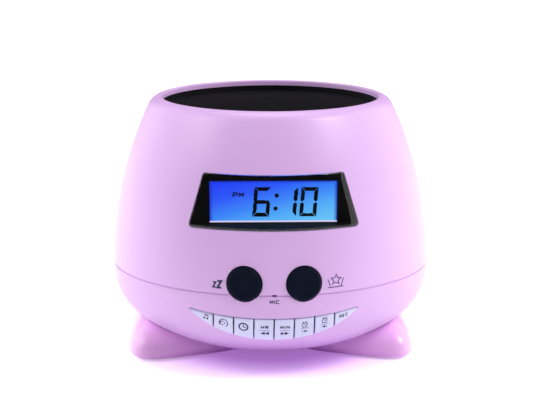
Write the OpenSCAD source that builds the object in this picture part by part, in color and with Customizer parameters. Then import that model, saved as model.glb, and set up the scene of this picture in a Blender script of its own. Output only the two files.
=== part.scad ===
// Children's alarm clock with a star projector: a bowl-shaped case on two fan-shaped feet.
// Millimetres. Z is up, the display faces -Y, and the origin is on the table under the bowl's axis.

/* [Case] */
// Largest diameter of the bowl
body_d = 150; // [142:1:164]
// Height from the table to the top of the lip
body_h = 120; // [116:1:130]
// Height of the widest point above the table
equator_z = 39.5; // [38:0.5:42]
// Radius of the long side curve above the widest point
upper_curve_r = 178; // [160:1:220]
// Radius of the tight curve below the widest point
side_curve_r = 27; // [25:0.5:29]
// Radius of the flat disc under the bowl
bottom_flat_r = 17.7; // [16:0.1:20]
// Height of that disc above the table
ground_clearance = 3; // [2.5:0.1:5]
// Radius of the rounded lip
lip_r = 7; // [6:0.1:8]
// Rounding of the lip's inner edge
lip_edge_r = 1; // [0.5:0.1:1.5]
// Wall of both shells
wall = 2.5; // [2.2:0.1:3]
// Height of the parting line between the shells
seam_z = 41.7; // [40:0.1:43]
// Width of the groove along the parting line
seam_groove_w = 0.4; // [0.2:0.1:0.8]
// Depth of that groove
seam_groove_depth = 0.5; // [0.3:0.1:0.8]
// Height of the tongue that locates the upper shell on the lower one
tongue_h = 1.8; // [1.2:0.1:2.2]
// Thickness of the tongue
tongue_t = 1.1; // [0.9:0.1:1.3]

/* [Clearances] */
// Gap between fixed pieces that fit into each other
fit_gap = 0.15; // [0.1:0.05:0.25]
// Gap around a button or key in its hole
button_gap = 0.35; // [0.3:0.05:0.5]
// Gap that a pressed button or key keeps to what stops it
stop_gap = 0.3; // [0.3:0.05:0.5]
// Gap between the bowl and the feet
foot_gap = 0.2; // [0.1:0.05:0.4]

/* [Top window] */
// Distance from the opening inside the lip out to the long side curve, level with the top
lip_w = 4.76; // [4.6:0.02:6]
// Depth of the window's rim below the top of the lip
rim_depth = 2.7; // [2:0.1:4]
// Depth of the window's face below the top of the lip
window_depth = 5.3; // [5:0.1:7]
// Thickness of the window
window_t = 2; // [1.5:0.1:2.5]
// Thickness of the window's rim
rim_t = 1.4; // [1:0.1:1.8]
// Wall of the collar that holds the window
collar_t = 1.6; // [1.2:0.1:2]
// Length of collar below the window
collar_skirt = 2.2; // [1.5:0.1:3]

/* [Display] */
// Height of the display lens's middle, as a share of the clock's height
display_share = 0.6833; // [0.67:0.0001:0.7]
// Height of the display lens
display_h = 24; // [22:0.5:26]
// Half width of the lens along its top edge
display_top_w = 31; // [29:0.5:32]
// Half width of the lens along its bottom edge
display_bottom_w = 38; // [36:0.5:40]
// Corner radius of the lens
display_corner_r = 1.6; // [1.3:0.1:2.5]
// Ledge behind the lens's edge
display_ledge = 0.7; // [0.5:0.1:0.9]
// Wall of the display frame
frame_wall = 1.6; // [1.2:0.1:2]
// Thickness of the frame's face around the digits
mask_t = 1.2; // [1:0.1:1.6]
// Width of the window in the frame
digits_w = 57.6; // [52:0.2:58]
// Height of the window in the frame
digits_h = 18.8; // [17:0.2:19.4]
// Distance of that window's centre below the lens's middle
digits_drop = 1.7; // [1.2:0.1:2.2]
// Rim of the panel hidden behind the frame
panel_rim = 1.5; // [1:0.1:1.6]
// Thickness of the panel
panel_t = 2.8; // [2:0.1:3.2]
// Thickness of the backlight
backlight_t = 3; // [2.5:0.1:4]
// Space between the panel's corners and the shell
panel_corner_gap = 0.6; // [0.4:0.1:1]
// Height of each rubber connector strip
connector_h = 1.5; // [1:0.1:1.8]

/* [Main board] */
// Width of the main board
board_w = 70; // [62:1:74]
// Height of the board's bottom edge
board_bottom_z = 44; // [43:0.5:46]
// Thickness of both boards
board_t = 1.6; // [1.2:0.1:2]
// Distance of a board screw from the middle
board_screw_x = 30; // [27:0.5:31]
// Height of the main board's screws
board_screw_z = 57; // [54:0.5:60]
// Radius of the bosses for small screws
boss_r = 2.8; // [2.4:0.1:3.2]
// Radius of a small screw
small_screw_r = 1.1; // [0.9:0.1:1.3]

/* [Round buttons] */
// Diameter of a round button
button_d = 15.8; // [14:0.1:17]
// Distance of a button's centre from the middle
button_x = 13.2; // [12:0.1:16]
// Height of a button's centre
button_z = 47.3; // [46:0.1:49]
// Height of a button's rim above the case
button_proud = 1.4; // [1:0.1:2]
// Width of the bevel around a button's face
button_bevel = 1.1; // [0.8:0.1:1.6]
// Depth of the hollow in a button's face
button_dish = 0.35; // [0.2:0.05:0.6]
// Travel of a button
button_travel = 1.2; // [0.8:0.1:1.5]
// Width of the flange behind a button
button_flange = 1.3; // [1:0.1:1.6]
// Thickness of a flange behind a button or key
flange_t = 1.2; // [1:0.1:1.4]
// Radius of a button's plunger
plunger_r = 2; // [1.6:0.1:2.4]
// Side of a push switch
switch_w = 6; // [5:0.1:7]
// Height of a push switch's housing
switch_h = 3.4; // [3:0.1:4]
// Radius of the switch's own plunger
switch_tip_r = 1.6; // [1.2:0.1:1.8]
// Height of the switch's own plunger
switch_tip_h = 0.9; // [0.6:0.1:1.2]

/* [Microphone] */
// Width of the sound slot in the parting line
mic_slot_w = 2.2; // [1.8:0.1:3]
// Height of the sound slot
mic_slot_h = 0.9; // [0.7:0.1:1.2]
// Radius of the microphone capsule
mic_r = 2; // [1.8:0.1:2.2]
// Length of the microphone capsule
mic_l = 2.2; // [1.8:0.1:2.6]
// Rubber around the capsule
grommet_t = 0.8; // [0.6:0.1:1]

/* [Key strip] */
// Distance from key to key
key_pitch = 8.95; // [8.6:0.05:9.2]
// Gap between two keys
key_gap = 0.5; // [0.4:0.05:0.7]
// Height of the strip at its middle
strip_h = 13.6; // [12.5:0.1:14.5]
// Radius of the strip's lower edge
strip_lower_r = 70; // [66:1:74]
// Radius of the strip's upper edge
strip_upper_r = 280; // [260:5:300]
// Slope of the case at the middle of the strip
strip_tilt = 33.5; // [32:0.5:35]
// Height of the key faces above the case
key_proud = 0.7; // [0.5:0.1:1.2]
// Travel of a key
key_travel = 1; // [0.7:0.1:1.2]
// Width of the flange above and below a key
key_flange = 1.1; // [0.8:0.1:1.4]
// Radius of a key's plunger
key_plunger_r = 1.7; // [1.4:0.1:2]
// Depth of the key board's face behind the middle of the strip
key_board_depth = 16.5; // [16:0.1:17.5]
// Height of the key board
key_board_h = 15; // [14:0.5:16]
// Width of the key board
key_board_w = 82; // [79:1:84]
// Thickness of the rubber key sheet
key_sheet_t = 1; // [0.8:0.1:1.2]
// Height of a rubber dome
dome_h = 1.1; // [0.9:0.1:1.3]
// Radius of a rubber dome
dome_r = 2.6; // [2.2:0.1:3]
// Distance of a key board screw from the middle
key_screw_x = 38.3; // [38:0.1:38.6]
// Distance of a key board screw below the middle of the strip
key_screw_drop = 3; // [2.6:0.1:3.6]
// How far a key board screw bites into its post
key_screw_bite = 2.8; // [2.2:0.1:3]

/* [Feet] */
// Distance of a foot's centre from the middle
foot_x = 38.5; // [37:0.5:40]
// Half length of a foot from the middle outwards
foot_half_l = 29; // [27:0.1:31]
// Half width of a foot
foot_half_w = 31.8; // [29:0.1:34]
// How much a foot widens outwards
foot_fan = 0.34; // [0.2:0.01:0.4]
// How square the foot's outline is, from round (2) up
foot_square = 4.6; // [3:0.1:5]
// Height at which a foot is largest
foot_edge_z = 4; // [3.6:0.1:5]
// Height of the foot's crown before the bowl cuts it
foot_crown_z = 22; // [21:0.1:26]
// Size of the sole as a share of the largest outline
foot_sole = 0.88; // [0.86:0.01:0.93]
// Radius of a rubber pad
pad_r = 5.5; // [4:0.1:6]
// Thickness of a rubber pad
pad_t = 1.5; // [1.2:0.1:2]
// Height of the sole above the table
pad_proud = 0.4; // [0.3:0.1:0.8]
// Distance of a pad from the middle, across the clock
pad_x = 43; // [42:0.5:44]
// Distance of a pad from the middle, front to back
pad_y = 21; // [20:0.5:22]

/* [Case screws] */
// Distance of a case screw from the middle, across the clock
case_screw_x = 53.5; // [52.5:0.5:54.5]
// Distance of a case screw from the middle, front to back
case_screw_y = 17; // [15:0.5:17.5]
// Radius of a case screw
case_screw_r = 1.4; // [1.2:0.1:1.6]
// Depth of the recess for a screw's head
head_recess = 4.6; // [4:0.1:5.5]
// Radius of the screw posts
post_r = 4; // [3.6:0.1:4.5]
// Height of the upper screw posts above the parting line
post_h = 20; // [16:0.5:26]
// Thickness of the ribs that brace the posts
rib_t = 1.6; // [1.2:0.1:2]

/* [Star projector] */
// Radius of the lamp housing
lamp_housing_r = 26; // [22:0.5:28]
// Wall of the lamp housing and its plate
lamp_housing_t = 1.8; // [1.5:0.1:2.2]
// Depth of the lamp housing
lamp_housing_h = 24; // [20:0.5:28]
// Height of the tube that presses the window into its seat
clamp_h = 5; // [4.5:0.1:6]
// Number of arms and screws of the lamp housing
arm_count = 3; // [3:1:4]
// Radius of the lamp board
lamp_board_r = 16; // [12:0.5:18]
// Radius of the lamp
lamp_r = 4; // [3:0.1:5]
// Height of the lamp
lamp_h = 5; // [4:0.1:6]
// Thickness of the star mask
star_mask_t = 0.8; // [0.5:0.1:1]
// Number of stars in the mask's ring
star_count = 8; // [6:2:10]
// Radius of a star's points
star_r = 3; // [2:0.1:3.6]
// Height of the projector lens
lens_h = 2; // [1.5:0.1:2.4]

/* [Speaker] */
// Radius of the speaker
speaker_r = 19; // [17:0.5:20]
// Height of the speaker's basket
basket_h = 9; // [7:0.1:11]
// Thickness of the basket's sheet and rim
basket_t = 1.2; // [1:0.1:1.5]
// Radius of the magnet
magnet_r = 11; // [9:0.5:12]
// Height of the magnet
magnet_h = 6; // [5:0.1:8]
// Wall that holds the speaker
speaker_wall_t = 1.6; // [1.2:0.1:2]
// Radius of a grille hole
grille_hole_r = 1; // [0.8:0.1:1.2]
// Distance between the rings of grille holes
grille_pitch = 3.8; // [3.2:0.1:4.2]
// Number of rings of grille holes
grille_rings = 3; // [2:1:3]

/* [Batteries] */
// Diameter of a cell
cell_d = 14.2; // [13.6:0.1:14.5]
// Length of a cell
cell_l = 49.2; // [48:0.1:50]
// Distance from cell to cell
cell_pitch = 14.8; // [14.6:0.1:15]
// Space for a contact at each end of a cell
contact_space = 2.6; // [2.2:0.1:3]
// Thickness of a contact plate
contact_t = 0.5; // [0.4:0.1:0.8]
// Height of the battery door's bottom edge
door_bottom_z = 44.6; // [44.6:0.1:45.4]
// Height of the band that holds the door's screw
door_screw_band = 7; // [6.5:0.1:7.5]
// Wall of the battery box
box_wall = 2.2; // [1.8:0.1:2.4]
// Ledge behind the battery door's edge
door_ledge = 1.2; // [1:0.1:1.4]
// Corner radius of the battery door
door_corner_r = 4; // [3:0.1:5]
// Thickness of a tab on the battery door
door_tab_t = 1.4; // [1.2:0.1:1.6]
// How far a tab reaches behind the shell
door_tab_reach = 2; // [1.5:0.1:2.5]
// Width of a tab on the battery door
door_tab_w = 6; // [5:0.1:8]
// Distance of a door tab from the middle
door_tab_x = 14; // [12:0.5:16]

/* [Hidden] */

$fn = 64;
case_fn = 240;
large_fn = 360;
reach = 400;
sliver = 0.01;

body_r = body_d / 2;

// The half section of the bowl is four arcs that run into each other.
side_c = [body_r - side_curve_r, equator_z];
belly_dx = side_c[0] - bottom_flat_r;
belly_dz = equator_z - ground_clearance;
belly_r = (pow(belly_dx, 2) + pow(belly_dz, 2) - pow(side_curve_r, 2)) / (2 * (belly_dz - side_curve_r));
belly_c = [bottom_flat_r, ground_clearance + belly_r];
belly_a = atan2(side_c[1] - belly_c[1], side_c[0] - belly_c[0]);
upper_c = [body_r - upper_curve_r, equator_z];
opening_r = upper_c[0] + sqrt(pow(upper_curve_r, 2) - pow(body_h - equator_z, 2)) - lip_w;
lip_z = body_h - lip_r;
lip_c = [upper_c[0] + sqrt(pow(upper_curve_r - lip_r, 2) - pow(lip_z - equator_z, 2)), lip_z];
lip_a = atan2(lip_c[1] - upper_c[1], lip_c[0] - upper_c[0]);

function arc_point(centre, r, a) = centre + r * [cos(a), sin(a)];

// Radius of the case at height z, measured to a surface that lies inset below the outside.
function case_r(z, inset = 0) =
    z >= equator_z ? upper_c[0] + sqrt(pow(upper_curve_r - inset, 2) - pow(z - equator_z, 2))
    : z >= belly_c[1] + belly_r * sin(belly_a)
        ? side_c[0] + sqrt(pow(side_curve_r - inset, 2) - pow(z - equator_z, 2))
        : belly_c[0] + sqrt(pow(belly_r - inset, 2) - pow(z - belly_c[1], 2));

// Distance from the middle plane to the case at a height and a sideways distance.
function case_y(x, z, inset = 0) = sqrt(pow(case_r(z, inset), 2) - pow(x, 2));

module sector(centre, r, a0, a1) {
    middle = (a0 + a1) / 2;
    intersection() {
        translate(centre) circle(r, $fn = large_fn);
        polygon([centre, arc_point(centre, 2 * r, a0), arc_point(centre, 2 * r, middle),
            arc_point(centre, 2 * r, a1)]);
    }
}

// Half section of the bowl's solid form, drawn in by inset all round.
module case_section(inset = 0) {
    intersection() {
        square([2 * body_r, 2 * body_h]);
        union() {
            polygon([[0, ground_clearance + inset], [bottom_flat_r, ground_clearance + inset],
                arc_point(side_c, side_curve_r - inset, belly_a), [body_r - inset, equator_z],
                arc_point(upper_c, upper_curve_r - inset, lip_a), [lip_c[0], body_h - inset],
                [0, body_h - inset]]);
            sector(belly_c, belly_r - inset, -90, belly_a);
            sector(side_c, side_curve_r - inset, belly_a, 0);
            sector(upper_c, upper_curve_r - inset, 0, lip_a);
            sector(lip_c, lip_r - inset, lip_a, 90);
        }
    }
}

module case_form(inset = 0) {
    rotate_extrude($fn = case_fn) case_section(inset);
}

// What lies between two depths below the outside.
module case_layer(outer, inner) {
    difference() {
        case_form(outer);
        case_form(inner);
    }
}

// Outline with straight sides between round corners, given by the corners' centres.
module rounded_outline(centres, r) {
    count = len(centres);
    normals = [for (i = [0:count - 1])
        let (d = centres[(i + 1) % count] - centres[i]) [d[1], -d[0]] / norm(d)];
    polygon([for (i = [0:count - 1]) for (n = [normals[(i + count - 1) % count], normals[i]])
        centres[i] + r * n]);
    for (c = centres) translate(c) circle(r);
}

module facing_front() {
    rotate([90, 0, 0]) children();
}

// ---- Display ----

display_z = body_h * display_share;
display_top_z = display_z + display_h / 2;
display_bottom_z = display_z - display_h / 2;
digits_z = display_z - digits_drop;
board_top_z = display_top_z;
display_lean = atan2(display_bottom_w - display_top_w, display_top_z - display_bottom_z);
digits_top_z = digits_z + digits_h / 2;
digits_bottom_z = digits_z - digits_h / 2;
panel_half_w = digits_w / 2 + panel_rim;
panel_top_z = digits_top_z + panel_rim;
panel_bottom_z = digits_bottom_z - panel_rim;
// Distance of the panel's face from the middle, set by its upper corners
panel_y = case_y(panel_half_w, panel_top_z, wall + panel_corner_gap);
backlight_y = panel_y - panel_t;
board_y = backlight_y - backlight_t;

function display_half_w(z) = display_bottom_w
    - (z - display_bottom_z) * (display_bottom_w - display_top_w) / (display_top_z - display_bottom_z);

// Front outline of the display lens's opening, grown by grow all round.
module display_outline(grow = 0) {
    low = display_bottom_z + display_corner_r;
    high = display_top_z - display_corner_r;
    side = display_corner_r / cos(display_lean);
    low_x = display_half_w(low) - side;
    high_x = display_half_w(high) - side;
    rounded_outline([[-low_x, low], [low_x, low], [high_x, high], [-high_x, high]],
        display_corner_r + grow);
}

module display_prism(grow = 0) {
    facing_front() linear_extrude(reach) display_outline(grow);
}

module display_lens() {
    color("dimgray")
        intersection() {
            case_layer(0, wall);
            display_prism(-fit_gap);
        }
}

// Box-shaped frame: its front edge carries the lens and its face holds the panel.
module display_frame() {
    color("black")
        difference() {
            intersection() {
                case_form(wall);
                display_prism(frame_wall);
                translate([-body_r, -reach - board_y, 0]) cube([2 * body_r, reach, 2 * body_h]);
            }
            translate([0, -panel_y - mask_t, 0]) display_prism(-display_ledge);
            translate([-digits_w / 2, -panel_y - 2 * mask_t, digits_bottom_z])
                cube([digits_w, 3 * mask_t, digits_h]);
            translate([-panel_half_w - fit_gap, -panel_y, panel_bottom_z - fit_gap])
                cube([2 * (panel_half_w + fit_gap), panel_y, panel_top_z - panel_bottom_z + 2 * fit_gap]);
        }
}

module lcd_panel() {
    color("royalblue")
        translate([-panel_half_w, -panel_y, panel_bottom_z])
            cube([2 * panel_half_w, panel_t, panel_top_z - panel_bottom_z]);
}

module lcd_backlight() {
    low = panel_bottom_z + connector_h + fit_gap;
    high = panel_top_z - connector_h - fit_gap;
    color("white")
        translate([-panel_half_w, -backlight_y, low])
            cube([2 * panel_half_w, backlight_t, high - low]);
}

module lcd_connectors() {
    color("dimgray")
        for (z = [panel_bottom_z, panel_top_z - connector_h])
            translate([-digits_w / 2, -backlight_y, z]) cube([digits_w, backlight_t, connector_h]);
}

// ---- Main board ----

module main_board() {
    color("darkgreen")
        difference() {
            translate([-board_w / 2, -board_y, board_bottom_z])
                cube([board_w, board_t, board_top_z - board_bottom_z]);
            board_screw_places() cylinder(r = small_screw_r, h = reach, center = true);
        }
}

module board_screw_places() {
    for (side = [-1, 1])
        translate([side * board_screw_x, -board_y, board_screw_z]) facing_front() children();
}

chip_w = 14;
chip_t = 1.8;
capacitor_x = 20;
capacitor_r = 3;
capacitor_l = 9;

module board_parts() {
    back = -board_y + board_t;
    color("#22252a") {
        translate([-chip_w / 2, back, digits_z - chip_w / 2]) cube([chip_w, chip_t, chip_w]);
        for (side = [-1, 1])
            translate([side * capacitor_x, back, digits_bottom_z])
                rotate([-90, 0, 0]) cylinder(r = capacitor_r, h = capacitor_l);
    }
}

screw_head_r = 2 * small_screw_r - fit_gap;
screw_head_h = 1.4;
screw_bite = 5;

// Small pan-head screw: its head sits at the origin and it points up.
module small_screw(clamped, bite = screw_bite) {
    translate([0, 0, -screw_head_h]) cylinder(r = screw_head_r, h = screw_head_h);
    cylinder(r = small_screw_r - fit_gap / 2, h = clamped + bite);
}

module board_screws() {
    color("silver") {
        board_screw_places() translate([0, 0, -board_t]) small_screw(board_t);
        key_screw_places() translate([0, 0, -board_t - key_board_depth]) small_screw(board_t, key_screw_bite);
    }
}

// ---- Round buttons ----

button_r = button_d / 2;
button_turn = asin(button_x / case_r(button_z));
button_face_r = case_r(button_z);
// The flat flange clears the inside of the curved wall by its own sagitta.
flange_r = button_r + button_flange;
flange_sagitta = flange_r * flange_r / (2 * case_r(button_z, wall));
flange_face_r = button_face_r - wall - flange_sagitta - stop_gap;

// The button's own frame: Z points out of the case along the button's travel.
module button_frame(side) {
    rotate([0, 0, side * button_turn]) translate([0, 0, button_z]) facing_front() children();
}

module button_hole(side) {
    button_frame(side) cylinder(r = button_r + button_gap, h = reach);
}

switch_y = board_y;
switch_top_y = switch_y + switch_h + switch_tip_h;
// The plunger leans with the button, so its tip is cut back to its own edge.
plunger_lean = plunger_r * sin(button_turn);
plunger_end_r = (switch_top_y + button_travel + stop_gap) / cos(button_turn) + plunger_lean;

module round_button(side) {
    face = button_face_r + button_proud;
    dish_r = (pow(button_r - button_bevel, 2) + pow(button_dish, 2)) / (2 * button_dish);
    button_frame(side) difference() {
        union() {
            translate([0, 0, flange_face_r]) cylinder(r = button_r, h = face - button_bevel - flange_face_r);
            translate([0, 0, face - button_bevel])
                cylinder(r1 = button_r, r2 = button_r - button_bevel, h = button_bevel);
            translate([0, 0, flange_face_r - flange_t]) cylinder(r = flange_r, h = flange_t);
            translate([0, 0, plunger_end_r])
                cylinder(r = plunger_r, h = flange_face_r - plunger_end_r);
        }
        translate([0, 0, face - button_dish + dish_r]) sphere(dish_r, $fn = large_fn);
    }
}

module snooze_button() {
    color("#161a26") round_button(-1);
}

module projector_button() {
    color("#161a26") round_button(1);
}

module button_switches() {
    color("#3a3d42")
        for (side = [-1, 1]) {
            x = side * tan(button_turn) * switch_top_y;
            translate([x - switch_w / 2, -switch_y - switch_h, button_z - switch_w / 2])
                cube([switch_w, switch_h, switch_w]);
            translate([x, -switch_y - switch_h + sliver, button_z])
                facing_front() cylinder(r = switch_tip_r, h = switch_tip_h + sliver);
        }
}

// ---- Microphone ----

grommet_r = mic_r + grommet_t;
grommet_y = case_r(seam_z, wall);
cradle_t = 1.4;
cradle_l = 3;

module mic_slot() {
    translate([-mic_slot_w / 2, -reach, seam_z - mic_slot_h / 2]) cube([mic_slot_w, reach, mic_slot_h]);
}

module microphone() {
    color("silver")
        translate([0, -grommet_y + grommet_t + mic_l, seam_z]) facing_front() cylinder(r = mic_r, h = mic_l);
}

module microphone_grommet() {
    color("#202020")
        difference() {
            intersection() {
                translate([0, -grommet_y + grommet_t + mic_l, seam_z])
                    facing_front() cylinder(r = grommet_r, h = grommet_y);
                case_form(wall);
            }
            translate([0, -grommet_y + grommet_t + mic_l, seam_z])
                facing_front() translate([0, 0, -sliver]) cylinder(r = mic_r, h = mic_l + sliver);
            mic_slot();
        }
}

// Shelf with side cheeks that the grommet sits in.
module mic_cradle() {
    difference() {
        intersection() {
            translate([-grommet_r - cradle_t, -body_r, seam_z - grommet_r - 2 * cradle_t])
                cube([2 * (grommet_r + cradle_t), body_r - grommet_y + cradle_l,
                    grommet_r + 2 * cradle_t - seam_groove_w]);
            case_form(wall / 2);
        }
        translate([0, 0, seam_z]) facing_front() cylinder(r = grommet_r + fit_gap / 2, h = grommet_y + fit_gap);
    }
}

// ---- Key strip ----

key_count = 8;
strip_r = side_c[0] + side_curve_r * cos(strip_tilt);
strip_z = equator_z - side_curve_r * sin(strip_tilt);
strip_half_l = key_pitch * key_count / 2;

// The strip's own frame: Z points out of the case at the middle of the strip, X is across.
module strip_frame() {
    translate([0, -strip_r, strip_z]) rotate([90 + strip_tilt, 0, 0]) children();
}

// Lens-shaped outline of the strip between its two arcs, grown by grow.
module strip_outline(grow = 0) {
    intersection() {
        translate([0, strip_lower_r - strip_h / 2]) circle(strip_lower_r + grow, $fn = large_fn);
        translate([0, strip_h / 2 - strip_upper_r]) circle(strip_upper_r + grow, $fn = large_fn);
    }
}

module strip_prism(grow = 0) {
    strip_frame() translate([0, 0, -reach / 2]) linear_extrude(reach) strip_outline(grow);
}

key_sheet_z = -key_board_depth + key_sheet_t;
key_plunger_z = key_sheet_z + dome_h + key_travel + stop_gap;

// Sides of a key; the outermost keys run on past the strip's ends by overhang.
function key_left(i, overhang) = -strip_half_l + (i == 0 ? -overhang : i * key_pitch + key_gap / 2);
function key_right(i, overhang) = -key_left(key_count - 1 - i, overhang);
function key_x(i) = -strip_half_l + (i + 0.5) * key_pitch;

// Height of a key's middle in the strip's frame, between the two arcs.
function strip_low(x) = strip_lower_r - strip_h / 2 - sqrt(pow(strip_lower_r, 2) - pow(x, 2));
function strip_high(x) = strip_h / 2 - strip_upper_r + sqrt(pow(strip_upper_r, 2) - pow(x, 2));
function key_w(i) = (strip_low(key_x(i)) + strip_high(key_x(i))) / 2;

module key(i) {
    flange_inset = wall + stop_gap;
    color("#e9e6fb") {
        intersection() {
            strip_prism(-button_gap);
            key_slab(i, key_pitch);
            case_layer(-key_proud, flange_inset + flange_t / 2);
        }
        intersection() {
            strip_prism(key_flange);
            key_slab(i, key_flange);
            case_layer(flange_inset, flange_inset + flange_t);
        }
        intersection() {
            strip_frame() translate([key_x(i), key_w(i), key_plunger_z]) cylinder(r = key_plunger_r, h = reach);
            case_form(flange_inset + flange_t / 2);
        }
    }
}

module key_slab(i, overhang) {
    left = key_left(i, overhang);
    translate([left, -2 * body_r, 0]) cube([key_right(i, overhang) - left, 2 * body_r, body_h]);
}

module music_key() {
    key(0);
}

module night_key() {
    key(1);
}

module clock_key() {
    key(2);
}

module hour_key() {
    key(3);
}

module minute_key() {
    key(4);
}

module alarm_one_key() {
    key(5);
}

module alarm_two_key() {
    key(6);
}

module record_key() {
    key(7);
}

module key_screw_places() {
    for (side = [-1, 1]) strip_frame() translate([side * key_screw_x, -key_screw_drop, 0]) children();
}

module key_board() {
    color("darkgreen")
        difference() {
            intersection() {
                strip_frame() translate([-key_board_w / 2, -key_board_h / 2, -key_board_depth - board_t])
                    cube([key_board_w, key_board_h, board_t]);
                case_form(wall + fit_gap);
            }
            key_screw_places() cylinder(r = small_screw_r, h = reach, center = true);
        }
}

module key_sheet() {
    half_w = key_screw_x - boss_r - fit_gap;
    color("#b9bcc4")
        strip_frame() {
            translate([-half_w, -key_board_h / 2, -key_board_depth])
                cube([2 * half_w, key_board_h, key_sheet_t]);
            for (i = [0:key_count - 1])
                translate([key_x(i), key_w(i), key_sheet_z]) cylinder(r1 = dome_r, r2 = key_plunger_r, h = dome_h);
        }
}

// Posts that carry the key board behind the ends of the strip.
module key_board_posts() {
    difference() {
        intersection() {
            key_screw_places() translate([0, 0, -key_board_depth]) cylinder(r = boss_r, h = reach);
            case_form(wall / 2);
        }
        key_screw_places() translate([0, 0, -key_board_depth - sliver])
            cylinder(r = small_screw_r, h = key_screw_bite + fit_gap);
    }
}

// ---- Case screws ----

case_screw_points = [for (x = [-1, 1], y = [-1, 1]) [x * case_screw_x, y * case_screw_y]];
head_r = 2 * case_screw_r;
head_h = 1.5 * case_screw_r;
case_screw_bite = post_h / 2;

module at_case_screws() {
    for (p = case_screw_points) translate(p) children();
}

module case_screws() {
    color("silver")
        at_case_screws() {
            translate([0, 0, head_recess - head_h]) cylinder(r = head_r, h = head_h);
            translate([0, 0, head_recess])
                cylinder(r = case_screw_r - fit_gap / 3, h = seam_z + case_screw_bite - head_recess);
        }
}

module rib(p, low, high) {
    rotate([0, 0, atan2(p[1], p[0])])
        translate([norm(p), -rib_t / 2, low]) cube([body_r, rib_t, high - low]);
}

module upper_posts() {
    intersection() {
        union() {
            at_case_screws() translate([0, 0, seam_z]) cylinder(r = post_r, h = post_h);
            for (p = case_screw_points) rib(p, seam_z + 2 * tongue_h, seam_z + post_h);
        }
        case_form(wall / 2);
    }
}

module lower_posts() {
    intersection() {
        union() {
            at_case_screws() cylinder(r = post_r, h = seam_z);
            for (p = case_screw_points) rib(p, 0, seam_z - 3 * tongue_h);
        }
        case_form(wall / 2);
    }
}

// ---- Shells ----

window_bore_r = opening_r + rim_t + fit_gap;
rim_z = body_h - rim_depth;
window_z = body_h - window_depth;
window_under_z = window_z - window_t;
collar_low_z = window_under_z - collar_skirt;

// The window drops into the collar from below; the lip overhangs its rim.
module window_way() {
    cylinder(r = window_bore_r, h = rim_z, $fn = case_fn);
    cylinder(r = opening_r, h = body_h - lip_edge_r, $fn = case_fn);
    translate([0, 0, body_h - lip_edge_r])
        rotate_extrude($fn = case_fn) difference() {
            square([opening_r + lip_edge_r, 2 * lip_edge_r]);
            translate([opening_r + lip_edge_r, 0]) circle(lip_edge_r);
        }
}

module collar() {
    intersection() {
        translate([0, 0, collar_low_z])
            cylinder(r = window_bore_r + collar_t, h = body_h - collar_low_z, $fn = case_fn);
        case_form(wall / 2);
    }
}

clamp_low_z = window_under_z - clamp_h;
boss_overlap = 0.4;
arm_screw_r = case_r(clamp_low_z, wall) - boss_r + boss_overlap;

// Bosses under the collar for the lamp housing's screws.
module lamp_housing_bosses() {
    intersection() {
        at_arms() translate([0, 0, clamp_low_z]) cylinder(r = boss_r, h = lip_z - clamp_low_z);
        case_form(wall / 2);
    }
}

module main_board_bosses() {
    intersection() {
        board_screw_places() cylinder(r = boss_r, h = reach);
        case_form(wall / 2);
    }
}

module seam_groove() {
    translate([0, 0, seam_z - seam_groove_w / 2])
        difference() {
            cylinder(r = 2 * body_r, h = seam_groove_w);
            cylinder(r = case_r(seam_z) - seam_groove_depth, h = seam_groove_w, $fn = case_fn);
        }
}

// Ring inside the wall that rises from the lower shell, grown by grow on top and outside.
module tongue(grow = 0) {
    intersection() {
        difference() {
            translate([0, 0, seam_z - 2 * tongue_h]) cylinder(r = 2 * body_r, h = 3 * tongue_h + grow);
            case_form(wall);
        }
        case_form(wall - tongue_t - grow);
    }
}

module upper_shell() {
    color("#edc8fb")
        difference() {
            union() {
                case_layer(0, wall);
                collar();
                lamp_housing_bosses();
                main_board_bosses();
                upper_posts();
            }
            cylinder(r = 2 * body_r, h = seam_z);
            seam_groove();
            tongue(fit_gap);
            window_way();
            display_prism();
            door_prism();
            for (side = [-1, 1]) button_hole(side);
            mic_slot();
            at_case_screws() cylinder(r = case_screw_r, h = seam_z + case_screw_bite + fit_gap);
            at_arms() cylinder(r = small_screw_r, h = clamp_low_z + screw_bite + fit_gap);
            board_screw_places() cylinder(r = small_screw_r, h = screw_bite + fit_gap);
        }
}

module lower_shell() {
    color("#e8c2f6")
        difference() {
            union() {
                difference() {
                    intersection() {
                        union() {
                            case_layer(0, wall);
                            lower_posts();
                            mic_cradle();
                            key_board_posts();
                            speaker_seat();
                        }
                        cylinder(r = 2 * body_r, h = seam_z);
                    }
                    seam_groove();
                }
                tongue();
            }
            strip_prism();
            for (side = [-1, 1]) button_hole(side);
            mic_slot();
            at_case_screws() cylinder(r = case_screw_r + fit_gap, h = seam_z + sliver);
            grille();
        }
}

module top_window() {
    color("#1d1e22")
        difference() {
            translate([0, 0, window_under_z])
                cylinder(r = opening_r + rim_t, h = rim_z - window_under_z, $fn = case_fn);
            translate([0, 0, window_z]) cylinder(r = opening_r, h = body_h, $fn = case_fn);
        }
}

// ---- Star projector ----

module at_arms() {
    for (i = [0:arm_count - 1]) rotate([0, 0, 90 + 360 * (i + 0.5) / arm_count])
        translate([arm_screw_r, 0, 0]) children();
}

plate_low_z = clamp_low_z - lamp_housing_t;
housing_low_z = plate_low_z - lamp_housing_h;
mask_r = lamp_housing_r - lamp_housing_t / 2;
arm_w = 9;
arm_end_r = boss_r - boss_overlap - fit_gap;
lamp_housing_top = clamp_low_z - star_mask_t;

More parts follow.
